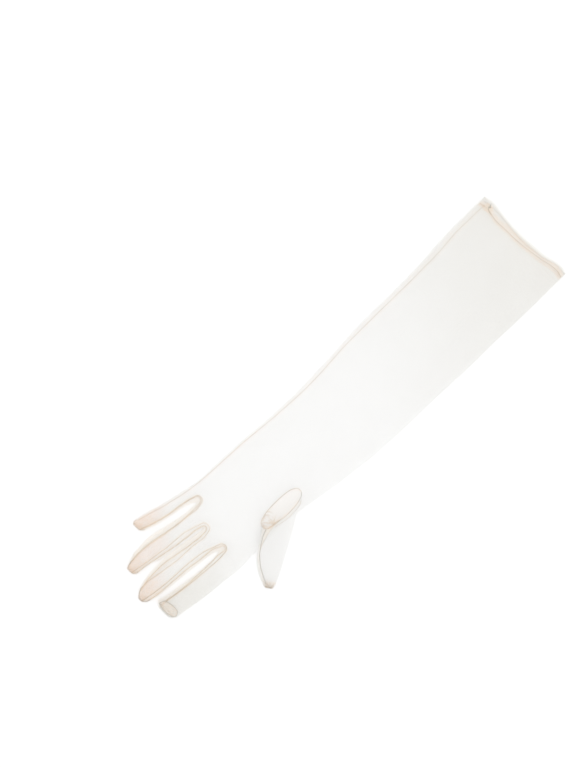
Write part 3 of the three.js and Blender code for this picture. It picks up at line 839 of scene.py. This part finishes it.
# The index finger's end is sewn shut across, and its corner turned back over the palm side.
TIP_FLAP = [
    (3.2, -240.8), (8.2, -242.6), (14, -243.2), (21.6, -241.3), (23.2, -238.2), (20.4, -234.4),
    (14.8, -233.8), (9.5, -234.8), (5.2, -235.8),
]
INDEX_END = [(2.6, -241.4), (7.8, -243.5), (14, -244.2), (18.5, -243.5), (21.8, -241.6)]
flap_line = eased(TIP_FLAP + TIP_FLAP[:1], 0.5)
index_end = eased(INDEX_END, 0.6)
for lift, turn, material in (
    (0.45, 0.4, peach_net), (0.6, 2.1, peach_net), (0.7, 0.9, peach_net), (0.8, 1.3, net)
):
    plies.append(patch(palm_layer, flap_line, lift, turn, material))
for lift in (0.2, 0.4):
    plies.append(turning(palm_layer, index_end, (-0.8, 0.7), lift, net))
for k, x in enumerate(np.arange(5.5, 21.5, 1.3)):
    reach = 1.2 + 1.6 * math.sin(2.1 * k) ** 2
    plies.append(pleat(palm_layer, (x, -241.6), (x - 0.3, -241.6 + reach), 0.8))

trank = gathered("palm_and_sleeve", plies, [net, turned_net, pleated_net, peach_net])
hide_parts("trank")
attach(trank, "root")


# The strips between the fingers
# Each is a bias strip of the same net, folded double, let in between two fingers from the tip
# of one round the crotch to the tip of the next.

strip_net = net_finish("strip_net", (0.93, 0.87, 0.79), (0.90, 0.83, 0.73), 0.062)

for name in palm_gaps:
    strip, strip_places = skin(in_palm_gap[name], in_back_gap[name])
    plies = [
        (points, strip, strip_places, strip_net),
        (points - outwards * 0.4, strip, turned_by(0.52, strip_places, 3.3), strip_net),
        turning(palm_layer, clipped(palm_gaps[name], 0.6), (-0.1, -1.6), -0.55),
        turning(back_layer, clipped(back_gaps[name], 0.6), (-0.1, -1.2), -0.55),
    ]
    strip = gathered(f"strip_{name}", plies, [strip_net, turned_net])
    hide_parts(f"fourchette_{name}")
    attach(strip, "root")


# The seams of the hand
# The raw edges are bound together inside by looped thread, and a line of fine stitches in
# peach-beige thread shows along each seam. Short seams close the fingers' ends.

STITCH = 2.1  # mm from one stitch to the next
LOOP = 1.7  # mm from one binding loop to the next
THREAD_STEP = 1.1  # mm from point to point of a line that thread follows
WRIST = -60  # mm along, where the sleeve's thread gives way to the hand's


def thread_finish(name, pale, dark):
    """Twisted sewing thread: fine slanting ply marks, and patches that took more dye."""
    finish = Finish(name)
    spot = finish.add("ShaderNodeTexCoord", output=3)
    slanting = {"Vector": spot, "Scale": 1500.0, "Distortion": 2.0}
    twist = finish.add("ShaderNodeTexWave", {"bands_direction": "DIAGONAL"}, slanting, 1)
    dyed = finish.add("ShaderNodeTexNoise", sockets={"Vector": spot, "Scale": 45.0, "Detail": 2.0})
    ridged = {"Strength": 0.5, "Distance": 0.00005, "Height": twist}
    return finish.surface({
        "Base Color": finish.mixed(dyed.rising(0.35, 0.65), pale, dark),
        "Roughness": 0.55 + 0.2 * twist,
        "Sheen Weight": 0.3,
        "Normal": finish.add("ShaderNodeBump", {}, ridged),
    })


def drawn_thread(name, path, thickness, finish):
    """A short piece of thread along a path in mm, as round cord."""
    bpy.ops.object.select_all(action="DESELECT")
    bpy.ops.curve.primitive_nurbs_path_add()
    thread = bpy.context.object
    thread.name = name
    thread.data.splines.clear()
    spline = thread.data.splines.new("NURBS")
    spline.points.add(len(path) - 1)
    for point, (x, y, z) in zip(spline.points, path):
        point.co = (x * MM, y * MM, z * MM, 1)
    spline.use_endpoint_u = True
    spline.order_u = 3
    thread.data.resolution_u = 2
    thread.data.bevel_depth = thickness * MM / 2
    thread.data.bevel_resolution = 1
    thread.data.use_fill_caps = True
    thread.data.materials.append(finish)
    bpy.ops.object.convert(target="MESH")
    return bpy.context.object


def sewn(name, layer, line, lift, thread, pitch):
    """A stitch repeated along a line in plan, laid on the net and upright on it, as one mesh."""
    line, ways = layer.laid(line, lift)
    guide_data = bpy.data.curves.new(name + "_guide", "CURVE")
    guide_data.dimensions = "3D"
    guide_data.twist_mode = "Z_UP"
    spline = guide_data.splines.new("POLY")
    spline.points.add(len(line) - 1)
    along = unit(np.gradient(line, axis=0))
    level = unit(np.cross((0, 0, 1), along))
    upright = np.cross(along, level)
    for point, spot, way, beside, up in zip(spline.points, line, ways, level, upright):
        point.co = ((spot[0] - CENTRE) * MM, spot[1] * MM, spot[2] * MM, 1)
        point.tilt = -math.atan2(way @ beside, way @ up)
    guide = bpy.data.objects.new(name + "_guide", guide_data)
    bpy.context.scene.collection.objects.link(guide)
    run = thread.copy()
    run.data = thread.data.copy()
    run.name = name
    bpy.context.scene.collection.objects.link(run)
    bpy.ops.object.select_all(action="DESELECT")
    run.select_set(True)
    bpy.context.view_layer.objects.active = run
    length = np.linalg.norm(np.diff(line, axis=0), axis=1).sum()
    row = run.modifiers.new("row", "ARRAY")
    row.count = int(length / pitch)
    row.use_relative_offset, row.use_constant_offset = False, True
    row.constant_offset_displace = (length / row.count * MM, 0, 0)
    bend = run.modifiers.new("bend", "CURVE")
    bend.object = guide
    for modifier in ("row", "bend"):
        bpy.ops.object.modifier_apply(modifier=modifier)
    bpy.data.objects.remove(guide)
    return run


def together(name, runs):
    """Several meshes joined to one piece."""
    bpy.ops.object.select_all(action="DESELECT")
    for run in runs:
        run.select_set(True)
    bpy.context.view_layer.objects.active = runs[0]
    bpy.ops.object.join()
    runs[0].name = name
    return runs[0]


beige = thread_finish("peach_beige_thread", (0.62, 0.48, 0.34), (0.46, 0.34, 0.23))
olive = thread_finish("olive_beige_thread", (0.46, 0.40, 0.31), (0.34, 0.29, 0.22))
dark = thread_finish("dark_olive_thread", (0.34, 0.31, 0.27), (0.25, 0.23, 0.19))
grey = thread_finish("grey_beige_thread", (0.58, 0.54, 0.46), (0.5, 0.45, 0.37))
laid_stitch = [(0, 0, -0.25), (0.25, 0, 0.1), (0.9, 0, 0.16), (1.6, 0, 0.1), (1.9, 0, -0.25)]
stitch, fine_stitch, grey_stitch, olive_stitch, dark_stitch = spare_stitches = [
    drawn_thread("stitch", laid_stitch, thickness, finish)
    for thickness, finish in ((0.3, beige), (0.2, beige), (0.2, grey), (0.3, olive), (0.3, dark))
]
binding_loop = [
    (k * LOOP / 4, 0.55 * math.sin(k * math.pi / 2 + 0.4), 0.12 * math.cos(k * math.pi))
    for k in range(5)
]
binding = drawn_thread("binding", binding_loop, 0.14, beige)


def knot(place, size, tail, finish):
    """A small tied knot at a point in mm, with a loose end that runs along tail."""
    path = [
        (
            place[0] + size * math.cos(a) * (1 - a / 40),
            place[1] + size * 0.8 * math.sin(a),
            place[2] + 0.35 * size * math.sin(1.6 * a),
        )
        for a in np.linspace(0, 5 * math.pi, 26)
    ]
    return drawn_thread("knot", [(x - CENTRE, y, z) for x, y, z in path + tail], 0.4, finish)


def seam(name, layer, line, thread):
    """A bound seam: stitches on top of the net, and the looped binding inside it."""
    line = spaced(line, THREAD_STEP)
    return [
        sewn(name + "_stitches", layer, line, ON_NET, thread, STITCH),
        sewn(name + "_binding", layer, line, -0.45, binding, LOOP),
    ]


def finished_thread(name, runs, node=None):
    """Runs of thread as one piece, which replaces a seam's node if one is named."""
    piece = together(name, runs)
    if node:
        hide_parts(node)
    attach(piece, "root")


on_sleeve = side_line[:, 1] > WRIST
runs = seam("sleeve", palm_layer, side_line[on_sleeve], grey_stitch)
runs += seam("side", palm_layer, side_line[~on_sleeve], fine_stitch)
finished_thread("side_seam_thread", runs, "side_seam")
for name, on_palm, on_back in (
    ("little_ring", fine_stitch, fine_stitch),
    ("ring_middle", fine_stitch, stitch),
    ("middle_index", stitch, stitch),
):
    runs = seam("palm_" + name, palm_layer, clipped(palm_gaps[name], 0.5), on_palm)
    runs += seam("back_" + name, back_layer, clipped(back_gaps[name], 0.5), on_back)
    finished_thread(f"finger_seam_{name}_thread", runs, f"finger_seam_{name}")

tip_runs = []
for finger, left_up, right_up, thread in (
    (LITTLE, 6, 5, grey_stitch), (RING, 8, 6, grey_stitch), (MIDDLE, 9, 7, dark_stitch)
):
    end = finger[-1][0]
    down = table_edge(finger, 1, end + left_up, end)
    up = table_edge(finger, 2, end, end + right_up)
    line = eased(np.concatenate([down, up]), CORNER)
    _, out = outline_edge.depth(line)
    tip_runs += seam("end", palm_layer, line - out * 0.8, thread)
tip_runs += seam("flap", palm_layer, flap_line, olive_stitch)
for run in tip_runs[-2:]:
    run.location.z = 0.9 * MM  # on the turned-back corner's plies
tip_runs += seam("index_end", palm_layer, index_end, dark_stitch)
finished_thread("fingertip_thread", tip_runs)


# The thumb
# A piece of net of its own, folded along its outer side. Its base is gathered into an oval hole
# in the palm, and its tip is drawn up in small pleats. It lies across the palm's edge and comes
# down to the table.

THUMB_ROOT = (22, -94)  # where its own places are measured from
THUMB_TURN = math.radians(34.5)  # between its length and the hand's
# Along it, left edge, right edge, underside's height at the left and at the right, thickness
THUMB = [
    (16, 3.0, 14.6, 9.0, 8.8, 2.6), (12, -1.0, 15.4, 9.0, 8.8, 3.8),
    (6, -6.0, 15.0, 9.1, 8.6, 4.8), (-2, -10.8, 13.4, 9.1, 8.2, 5.6),
    (-10, -16.4, 12.8, 9.1, 7.6, 6.0), (-20, -16.9, 12.2, 9.0, 6.4, 6.2),
    (-32, -16.6, 11.0, 8.4, 4.4, 6.2), (-43, -16.7, 10.0, 6.2, 2.4, 6.0),
    (-54, -15.9, 9.0, 2.6, 0.7, 5.8), (-63, -13.4, 8.0, 0.5, 0.0, 5.5),
    (-70, -9.8, 6.9, 0.0, 0.0, 5.0), (-75.5, -5.8, 5.4, 0.0, 0.0, 4.2),
    (-78.4, -3.8, 4.2, 0.0, 0.0, 3.4),
]
# The seam along its inner edge and the gusset's beside it, across and along it
THUMB_SEAM = [
    (-11.6, -20.5), (-13.6, -26), (-14.6, -34), (-14.3, -48), (-10.8, -61), (-6.2, -69),
    (-3.0, -75),
]
GUSSET_SEAM = [(-5.5, -17.6), (-9.5, -26), (-13.0, -36), (-14.4, -44)]
KNOT = (26.4, -111.9)  # where the gathering threads are tied off
THUMB_FOLD = 2.3  # mm radius of the fold along its outer side
GATHERS = 26  # small gathers round the hole, deepest at its end nearest the fingers
PLEAT = 2.1  # mm from pleat to pleat at the thumb's tip
THUMB_GAP = 0.15  # mm between the palm's net and the thumb's at the hole

thumb_turn = np.array([
    [math.cos(THUMB_TURN), -math.sin(THUMB_TURN)],
    [math.sin(THUMB_TURN), math.cos(THUMB_TURN)],
])


def from_thumb(points):
    """Points across and along the thumb, in the hand's plan."""
    return np.asarray(points, float) @ thumb_turn.T + THUMB_ROOT


def to_thumb(points):
    """Points of the hand's plan, across and along the thumb."""
    return (points - THUMB_ROOT) @ thumb_turn


# In plan the thumb is the oval that fills the palm's hole, and the part that runs out of it
tip_along = THUMB[-1][0]
thumb_loop = from_thumb(eased(np.concatenate([
    table_edge(THUMB, 1, THUMB[0][0], tip_along), table_edge(THUMB, 2, tip_along, THUMB[0][0])
]), CORNER))
thumb_fold = Edge(thumb_loop[~within(thumb_loop, oval)])
thumb_rim = spaced(thumb_fold.line, EDGE_STEP)
thumb_plan, thumb_faces = filled(
    [(oval, True), (thumb_rim, False)],
    lambda spots: within(spots, oval) | within(spots, thumb_loop),
    thumb_fold,
    FOLD_RINGS,
    [
        (1.5, lambda spots: to_thumb(spots)[:, 1] > tip_along + 12),
        (FINE_SPACING, lambda spots: to_thumb(spots)[:, 1] <= tip_along + 12),
    ],
)
centres = thumb_plan[thumb_faces].mean(1)
thumb_below = ~within(centres, oval)
across, along = to_thumb(thumb_plan).T
left, right, lift, fall, rise = (reading(THUMB, k, along) for k in range(1, 6))
underside = lift + (fall - lift) * ramp(across - left, right - left)
thumb_depth, thumb_out = thumb_fold.depth(thumb_plan)
thumb_depth = np.abs(thumb_depth)
thumb_radius = np.minimum(THUMB_FOLD, FLATTEST * rise)
top, bottom = tube(thumb_depth, rise, thumb_radius, 5)
dropped = [palm_layer.tree.ray_cast((x, y, DROP), (0, 0, -1))[0] for x, y in thumb_plan]
palm = np.array([spot.z if spot else 0 for spot in dropped])  # the palm's height, 0 beside it


def above(on_palm, on_table):
    """Heights that clear the palm, and the table beside it."""
    return np.where(palm > 0, palm + on_palm, on_table)


def away_from(points, line):
    """The distance of points in plan from a line's points."""
    return np.linalg.norm(points[:, None] - line[None], axis=2).min(1)


# The upper layer leaves the palm along the open part of the hole's rim, and the lower layer
# along the part that the thumb covers
open_arc = oval[~within(oval, thumb_loop)]
covered_arc = oval[within(oval, thumb_loop)]
from_rim = away_from(thumb_plan, oval)
upward = 1 - np.exp(-((away_from(thumb_plan, open_arc) / 6) ** 1.3))
downward = 1 - np.exp(-away_from(thumb_plan, covered_arc) / 3.5)
in_oval = within(thumb_plan, oval) | (from_rim < 0.05)
thumb_top = palm + THUMB_GAP + (underside + top - palm - THUMB_GAP) * upward
thumb_low = palm + THUMB_GAP + (underside + bottom - palm - THUMB_GAP) * downward
lowest = above(0.3, 0.15)
thumb_low = np.maximum(thumb_low, lowest)
at_fold = np.zeros(len(thumb_plan), bool)
at_fold[rim(thumb_faces)] = True
at_fold &= ~in_oval

# The gathers run out from the hole's rim like rays
ray_x, ray_y = (thumb_plan - (HOLE["x"], HOLE["y"])).T
turn = np.arctan2(ray_y / HOLE["half_length"], ray_x / HOLE["half_width"])
near_fingers = bell((turn + math.pi / 2 + 0.25) / 0.9)
free = ramp(from_rim - 0.5, 2) * ramp(thumb_depth, 2)
thumb_top = relaxed(thumb_top, thumb_faces, free, 6)
gathers = np.cos(GATHERS * turn + 1.5 * billow(thumb_plan, 6, 3.3)) * bell(from_rim / 6.5)
deepness = ramp(from_rim, 0.8) * (0.12 + 0.62 * near_fingers)
thumb_top += deepness * gathers * ramp(thumb_depth, 1.5)
thumb_top += ramp(thumb_depth, 4) * upward * 0.45 * billow(thumb_plan, 11, 21.5)
to_tip = np.clip(1 - (along - tip_along) / 11, 0, 1)
pleats = np.cos(2 * math.pi * across / PLEAT) * to_tip * ramp(thumb_depth, 0.9)
thumb_top += 0.4 * pleats
thumb_low += 0.12 * (1 + pleats) * to_tip
thumb_low = relaxed(thumb_low, thumb_faces, ramp(thumb_depth, 2) * ramp(from_rim, 2), 3)
thumb_low = np.maximum(thumb_low, lowest)
thumb_top = np.maximum(thumb_top, thumb_low + 0.2)
thumb_top[at_fold] = np.maximum(underside + thumb_radius, above(0.5, 0.5))[at_fold]
thumb_points, thumb_under = two_layers(thumb_plan, thumb_top, thumb_low, at_fold)
unrolled = to_thumb(thumb_plan + thumb_out * round_fold(thumb_depth, thumb_radius)[:, None])
on_top = turned_by(-GRAIN_TURN, unrolled, (413, 7))
on_underside = turned_by(-GRAIN_TURN, unrolled * (-1, 1), (431, 3))
turned_down = thumb_faces[thumb_below][:, ::-1]
thumb_skin = np.concatenate([thumb_faces, thumb_under[turned_down]])
thumb_places = np.concatenate([on_top[thumb_faces], on_underside[turned_down]])
thumb_layer = Layer(thumb_points, thumb_faces)

thumb_cloth = net_finish("thumb_net", (0.835, 0.83, 0.815), (0.79, 0.775, 0.73), 0.13)
gathered_net = net_finish("gathered_net", (0.90, 0.845, 0.79), (0.88, 0.80, 0.72), 0.13)
skin_nets = [thumb_cloth if out else gathered_net for out in thumb_below]
skin_nets += [thumb_cloth] * len(turned_down)
thumb_line = from_thumb(eased(THUMB_SEAM, 3))
gusset_line = from_thumb(eased(GUSSET_SEAM, 2))
meeting = thumb_line[np.argmin(np.linalg.norm(thumb_line - gusset_line[-1], axis=1)) :: -1]
gusset = np.concatenate([gusset_line, meeting, gusset_line[:1]])
right_of_hole = oval[(oval[:, 0] > HOLE["x"]) & (oval[:, 1] < HOLE["y"] + 18)]
right_of_hole = right_of_hole[np.argsort(right_of_hole[:, 1])]
left_of_hole = np.concatenate([oval[WRIST_END:], oval[:1]])
inner_edge = from_thumb(table_edge(THUMB, 1, -24, tip_along + 3) + (0.4, 0))
plies = [
    (thumb_points, thumb_skin, thumb_places, skin_nets),
    turning(thumb_layer, thumb_line, (-0.2, 2.4), -0.3),
]
# The seam's raw edges lie in a narrow pile under the upper layer
for low, high, lift in (
    (-0.5, 0.4, -0.2), (-0.4, 0.5, -0.4), (-0.4, 0.4, -0.6), (-0.5, 0.3, -0.75), (-0.3, 0.5, -0.9)
):
    plies.append(turning(thumb_layer, thumb_line, (low, high), lift, thumb_cloth))
for lift in (0.1, -0.2):
    plies.append(turning(thumb_layer, inner_edge, (-0.4, 0.3), lift, thumb_cloth))
plies += [
    turning(palm_layer, left_of_hole, (0.2, -2.0), 0.4, peach_net),
    turning(palm_layer, left_of_hole, (-0.3, 1.3), UNDER_NET, peach_net),
    turning(palm_layer, right_of_hole, (-0.5, 2.7), UNDER_NET, peach_net),
    turning(palm_layer, right_of_hole, (-0.5, 2.4), -0.6),
    turning(thumb_layer, right_of_hole, (0.4, -2.2), -0.3, peach_net),
    patch(thumb_layer, gusset, -0.3, 0.4),
    patch(thumb_layer, gusset, -0.6, 1.3),
]

# The tip is lined in steps and drawn up in pleats
along_skin = along[thumb_skin % len(thumb_plan)].mean(1)
for inward, turn_by, deep, material in (
    (0.3, 0.6, 7, peach_net), (0.45, 1.2, 4.5, thumb_cloth), (0.6, 0.2, 3, thumb_cloth),
    (0.75, 0.9, 2.2, thumb_cloth),
):
    tip_faces = thumb_skin[along_skin < tip_along + deep]
    inward = np.minimum(inward, 0.4 * (thumb_top - thumb_low))
    ply = thumb_points.copy()
    ply[:, 2] += np.concatenate([-inward, inward])
    plies.append((ply, tip_faces, turned_by(turn_by, thumb_points[:, :2])[tip_faces], material))
for k, x in enumerate(np.arange(-3.4, 3.6, 0.75)):
    reach = 3.6 + 5 * math.sin(2.3 * k) ** 2
    start, end = from_thumb([(x, tip_along + 0.5), (1.2 * x, tip_along + reach)])
    for width in (0.8, 0.5):
        plies.append(pleat(thumb_layer, start, end, width))

# Small pleats run in from the hole's rim, and wider ones fan out from the knot
for k in range(24):
    start = oval[int(50 + 1.5 * k)]
    way = np.array([HOLE["x"] + 1, HOLE["y"] - 6]) - start + (5 * math.sin(4.1 * k), 0)
    reach = 2.4 + 4.5 * math.sin(1.7 * k + 1) ** 2
    plies.append(pleat(thumb_layer, start, start + way / np.linalg.norm(way) * reach, 0.8))
for k in range(10):
    angle = math.radians(76 + 15 * k)
    way = np.array([math.cos(angle), math.sin(angle)]) * (7.2 + 2.6 * math.sin(2.3 * k))
    for width in (1.3, 0.8):
        plies.append(pleat(thumb_layer, KNOT, KNOT + way, width))

thumb = gathered(
    "thumb_net", plies, [thumb_cloth, turned_net, pleated_net, peach_net, gathered_net]
)
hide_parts("thumb")
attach(thumb, "root")

left_half = oval[WRIST_END : FINGER_END + 1]
right_half = np.concatenate([oval[FINGER_END:], oval[: WRIST_END + 1]])
runs = seam("hole_left", palm_layer, left_half, olive_stitch)
runs += seam("hole_right", palm_layer, right_half, dark_stitch)
beside_hole = right_of_hole[np.abs(right_of_hole[:, 1] + 95.5) < 17.5] + (2.6, 0)
beside_hole = spaced(beside_hole, THREAD_STEP)
runs.append(sewn("beside", thumb_layer, beside_hole, ON_NET, fine_stitch, STITCH))
knot_end = [(27.6, -110.2, 10.3), (28.2, -107.4, 10.2), (28.0, -104.9, 10.1)]
runs.append(knot((*KNOT, 10.2), 0.6, knot_end, olive))
finished_thread("thumb_hole_thread", runs, "thumb_hole_seam")
below_knot = np.linalg.norm(thumb_line - thumb_line[0], axis=1) > 2.5
runs = seam("thumb", thumb_layer, thumb_line[below_knot], dark_stitch)
for low in (tip_along + 0.5, tip_along + 1.3):
    tip_line = from_thumb([(-3.2, low + 0.2), (0, low), (3.2, low + 0.2)])
    runs += seam("thumb_end", thumb_layer, tip_line, dark_stitch)
runs.append(sewn("gusset", thumb_layer, gusset_line, ON_NET, fine_stitch, STITCH))
finished_thread("thumb_seam_thread", runs, "thumb_seam")


# The cuff
# The cuff's edge is turned inwards twice and held by two rows of stitches. Where it meets the
# side seam, raw edges pile up inside it, and the thread is tied off in a knot.

# The heap of raw edges at the side seam, seen from above
SIDE_PILE = [
    (-47, 240.5), (-47.3, 244), (-44.8, 247.2), (-40.5, 248), (-37, 246), (-36.4, 241.8),
    (-40, 239.4), (-44, 238.8),
]


def turned_in(chosen_upper, chosen_lower, inward, turn_by, material, reach=1):
    """A ply of the cuff's net inside the glove, which runs out at its edge over a reach."""
    ply = points - outwards * (inward * ramp(below_edge, reach))[:, None]
    chosen, places = skin(chosen_upper, chosen_lower)
    return ply, chosen, turned_by(turn_by, places), material


below_edge = cuff_at(points[:, 0]) - points[:, 1]
below_middle = cuff_at(middle[:, 0]) - middle[:, 1]
in_hem = below_middle < reading(HEM, 3, middle[:, 0])
in_hem &= below_middle > reading(HEM, 4, middle[:, 0])
at_edge = below_middle < 1.8
in_pile = within(middle, np.array(SIDE_PILE, float))
nowhere = np.zeros(len(faces), bool)
plies = [
    turned_in(in_hem, in_hem, 0.38, 0.38, peach_net),
    turned_in(in_hem, in_hem, 0.7, 0.9, peach_net),
    turned_in(at_edge, at_edge, 0.2, 0.7, net),
]
for inward, turn_by, material in (
    (0.8, 0.5, turned_net), (0.95, 0.93, peach_net), (1.2, 1.4, peach_net), (1.45, 1.8, peach_net)
):
    plies.append(turned_in(in_pile, nowhere, inward, turn_by, material, 1.2))
for start, end in (((53.2, 245.6), (43.5, 250.4)), ((52.9, 244.6), (44, 246.2))):
    plies.append(pleat(palm_layer, start, end, 0.6))
hem = gathered("cuff_hem_net", plies, [peach_net, net, pleated_net, turned_net])
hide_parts("cuff_hem")
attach(hem, "root")

rows = []
across_cuff = np.linspace(-60, 60, 240)
for column, layer in ((1, back_layer), (2, palm_layer)):
    row = cuff_at(across_cuff, reading(HEM, column, across_cuff))
    row = spaced(clipped(np.stack([across_cuff, row], 1), 0.6), THREAD_STEP)
    rows.append(sewn("row", layer, row, ON_NET, stitch, STITCH))
long_end = [(-40.4, 242.2, 9.9), (-38.4, 240.9, 9.7), (-35.2, 240.2, 9.6)]
short_end = [(-41.6, 246.4, 9.7), (-42.4, 247.8, 9.2)]
rows.append(knot((-41.2, 244.0, 9.8), 0.8, long_end, olive))
rows.append(knot((-40.4, 244.6, 9.9), 0.5, short_end, dark))
finished_thread("cuff_thread", rows)
for spare in (*spare_stitches, binding):
    bpy.data.objects.remove(spare)


# The table, the light and the camera
# A plain white table under wide, soft light from above, seen straight down.

TABLE_TOP = -0.0003  # metres, where the thread under the back touches it

bpy.ops.object.select_all(action="DESELECT")
bpy.ops.mesh.primitive_plane_add(size=30, location=(0, 0, TABLE_TOP))
floor = bpy.context.object
floor.name = "floor"
white = Finish("white_table")
spot = white.add("ShaderNodeTexCoord", output=3)
grain = white.add("ShaderNodeTexNoise", sockets={"Vector": spot, "Scale": 60.0})
floor.data.materials.append(white.surface({
    "Base Color": white.mixed(grain, (0.9, 0.9, 0.9), (0.92, 0.92, 0.92)),
    "Roughness": 0.9,
    "Specular IOR Level": 0.1,
}))

world = bpy.data.worlds.new("studio")
bpy.context.scene.world = world
world.use_nodes = True
backdrop = world.node_tree.nodes["Background"].inputs
backdrop["Color"].default_value = (1, 1, 1, 1)
backdrop["Strength"].default_value = 0.93
for name, place, size, power in (
    ("overhead", (0.5, -0.3, 2.6), 2.4, 20), ("side", (-2.2, 1.2, 1.8), 1.6, 10)
):
    bpy.ops.object.light_add(type="AREA", location=place)
    lamp = bpy.context.object
    lamp.name = name
    lamp.data.size, lamp.data.energy = size, power
    lamp.rotation_euler = (-Vector(place)).to_track_quat("-Z", "Y").to_euler()

FRAME_HIGH = 0.7296  # metres that the picture shows from top to bottom
LOOK_AT = Vector((-0.0579, -0.0084, 0))  # metres, at the picture's middle
PICTURE_TURN = math.radians(45)  # the glove lies aslant in it
bpy.ops.object.camera_add()
camera = bpy.context.object
camera.data.lens, camera.data.sensor_width = 85, 36
distance = FRAME_HIGH * camera.data.lens / camera.data.sensor_width
above_glove = Matrix.Translation(LOOK_AT + Vector((0, 0, distance)))
camera.matrix_world = above_glove @ Matrix.Rotation(PICTURE_TURN, 4, "Z")
bpy.context.scene.camera = camera
bpy.context.scene.view_settings.view_transform = "Standard"
bpy.context.scene.cycles.transparent_max_bounces = 32
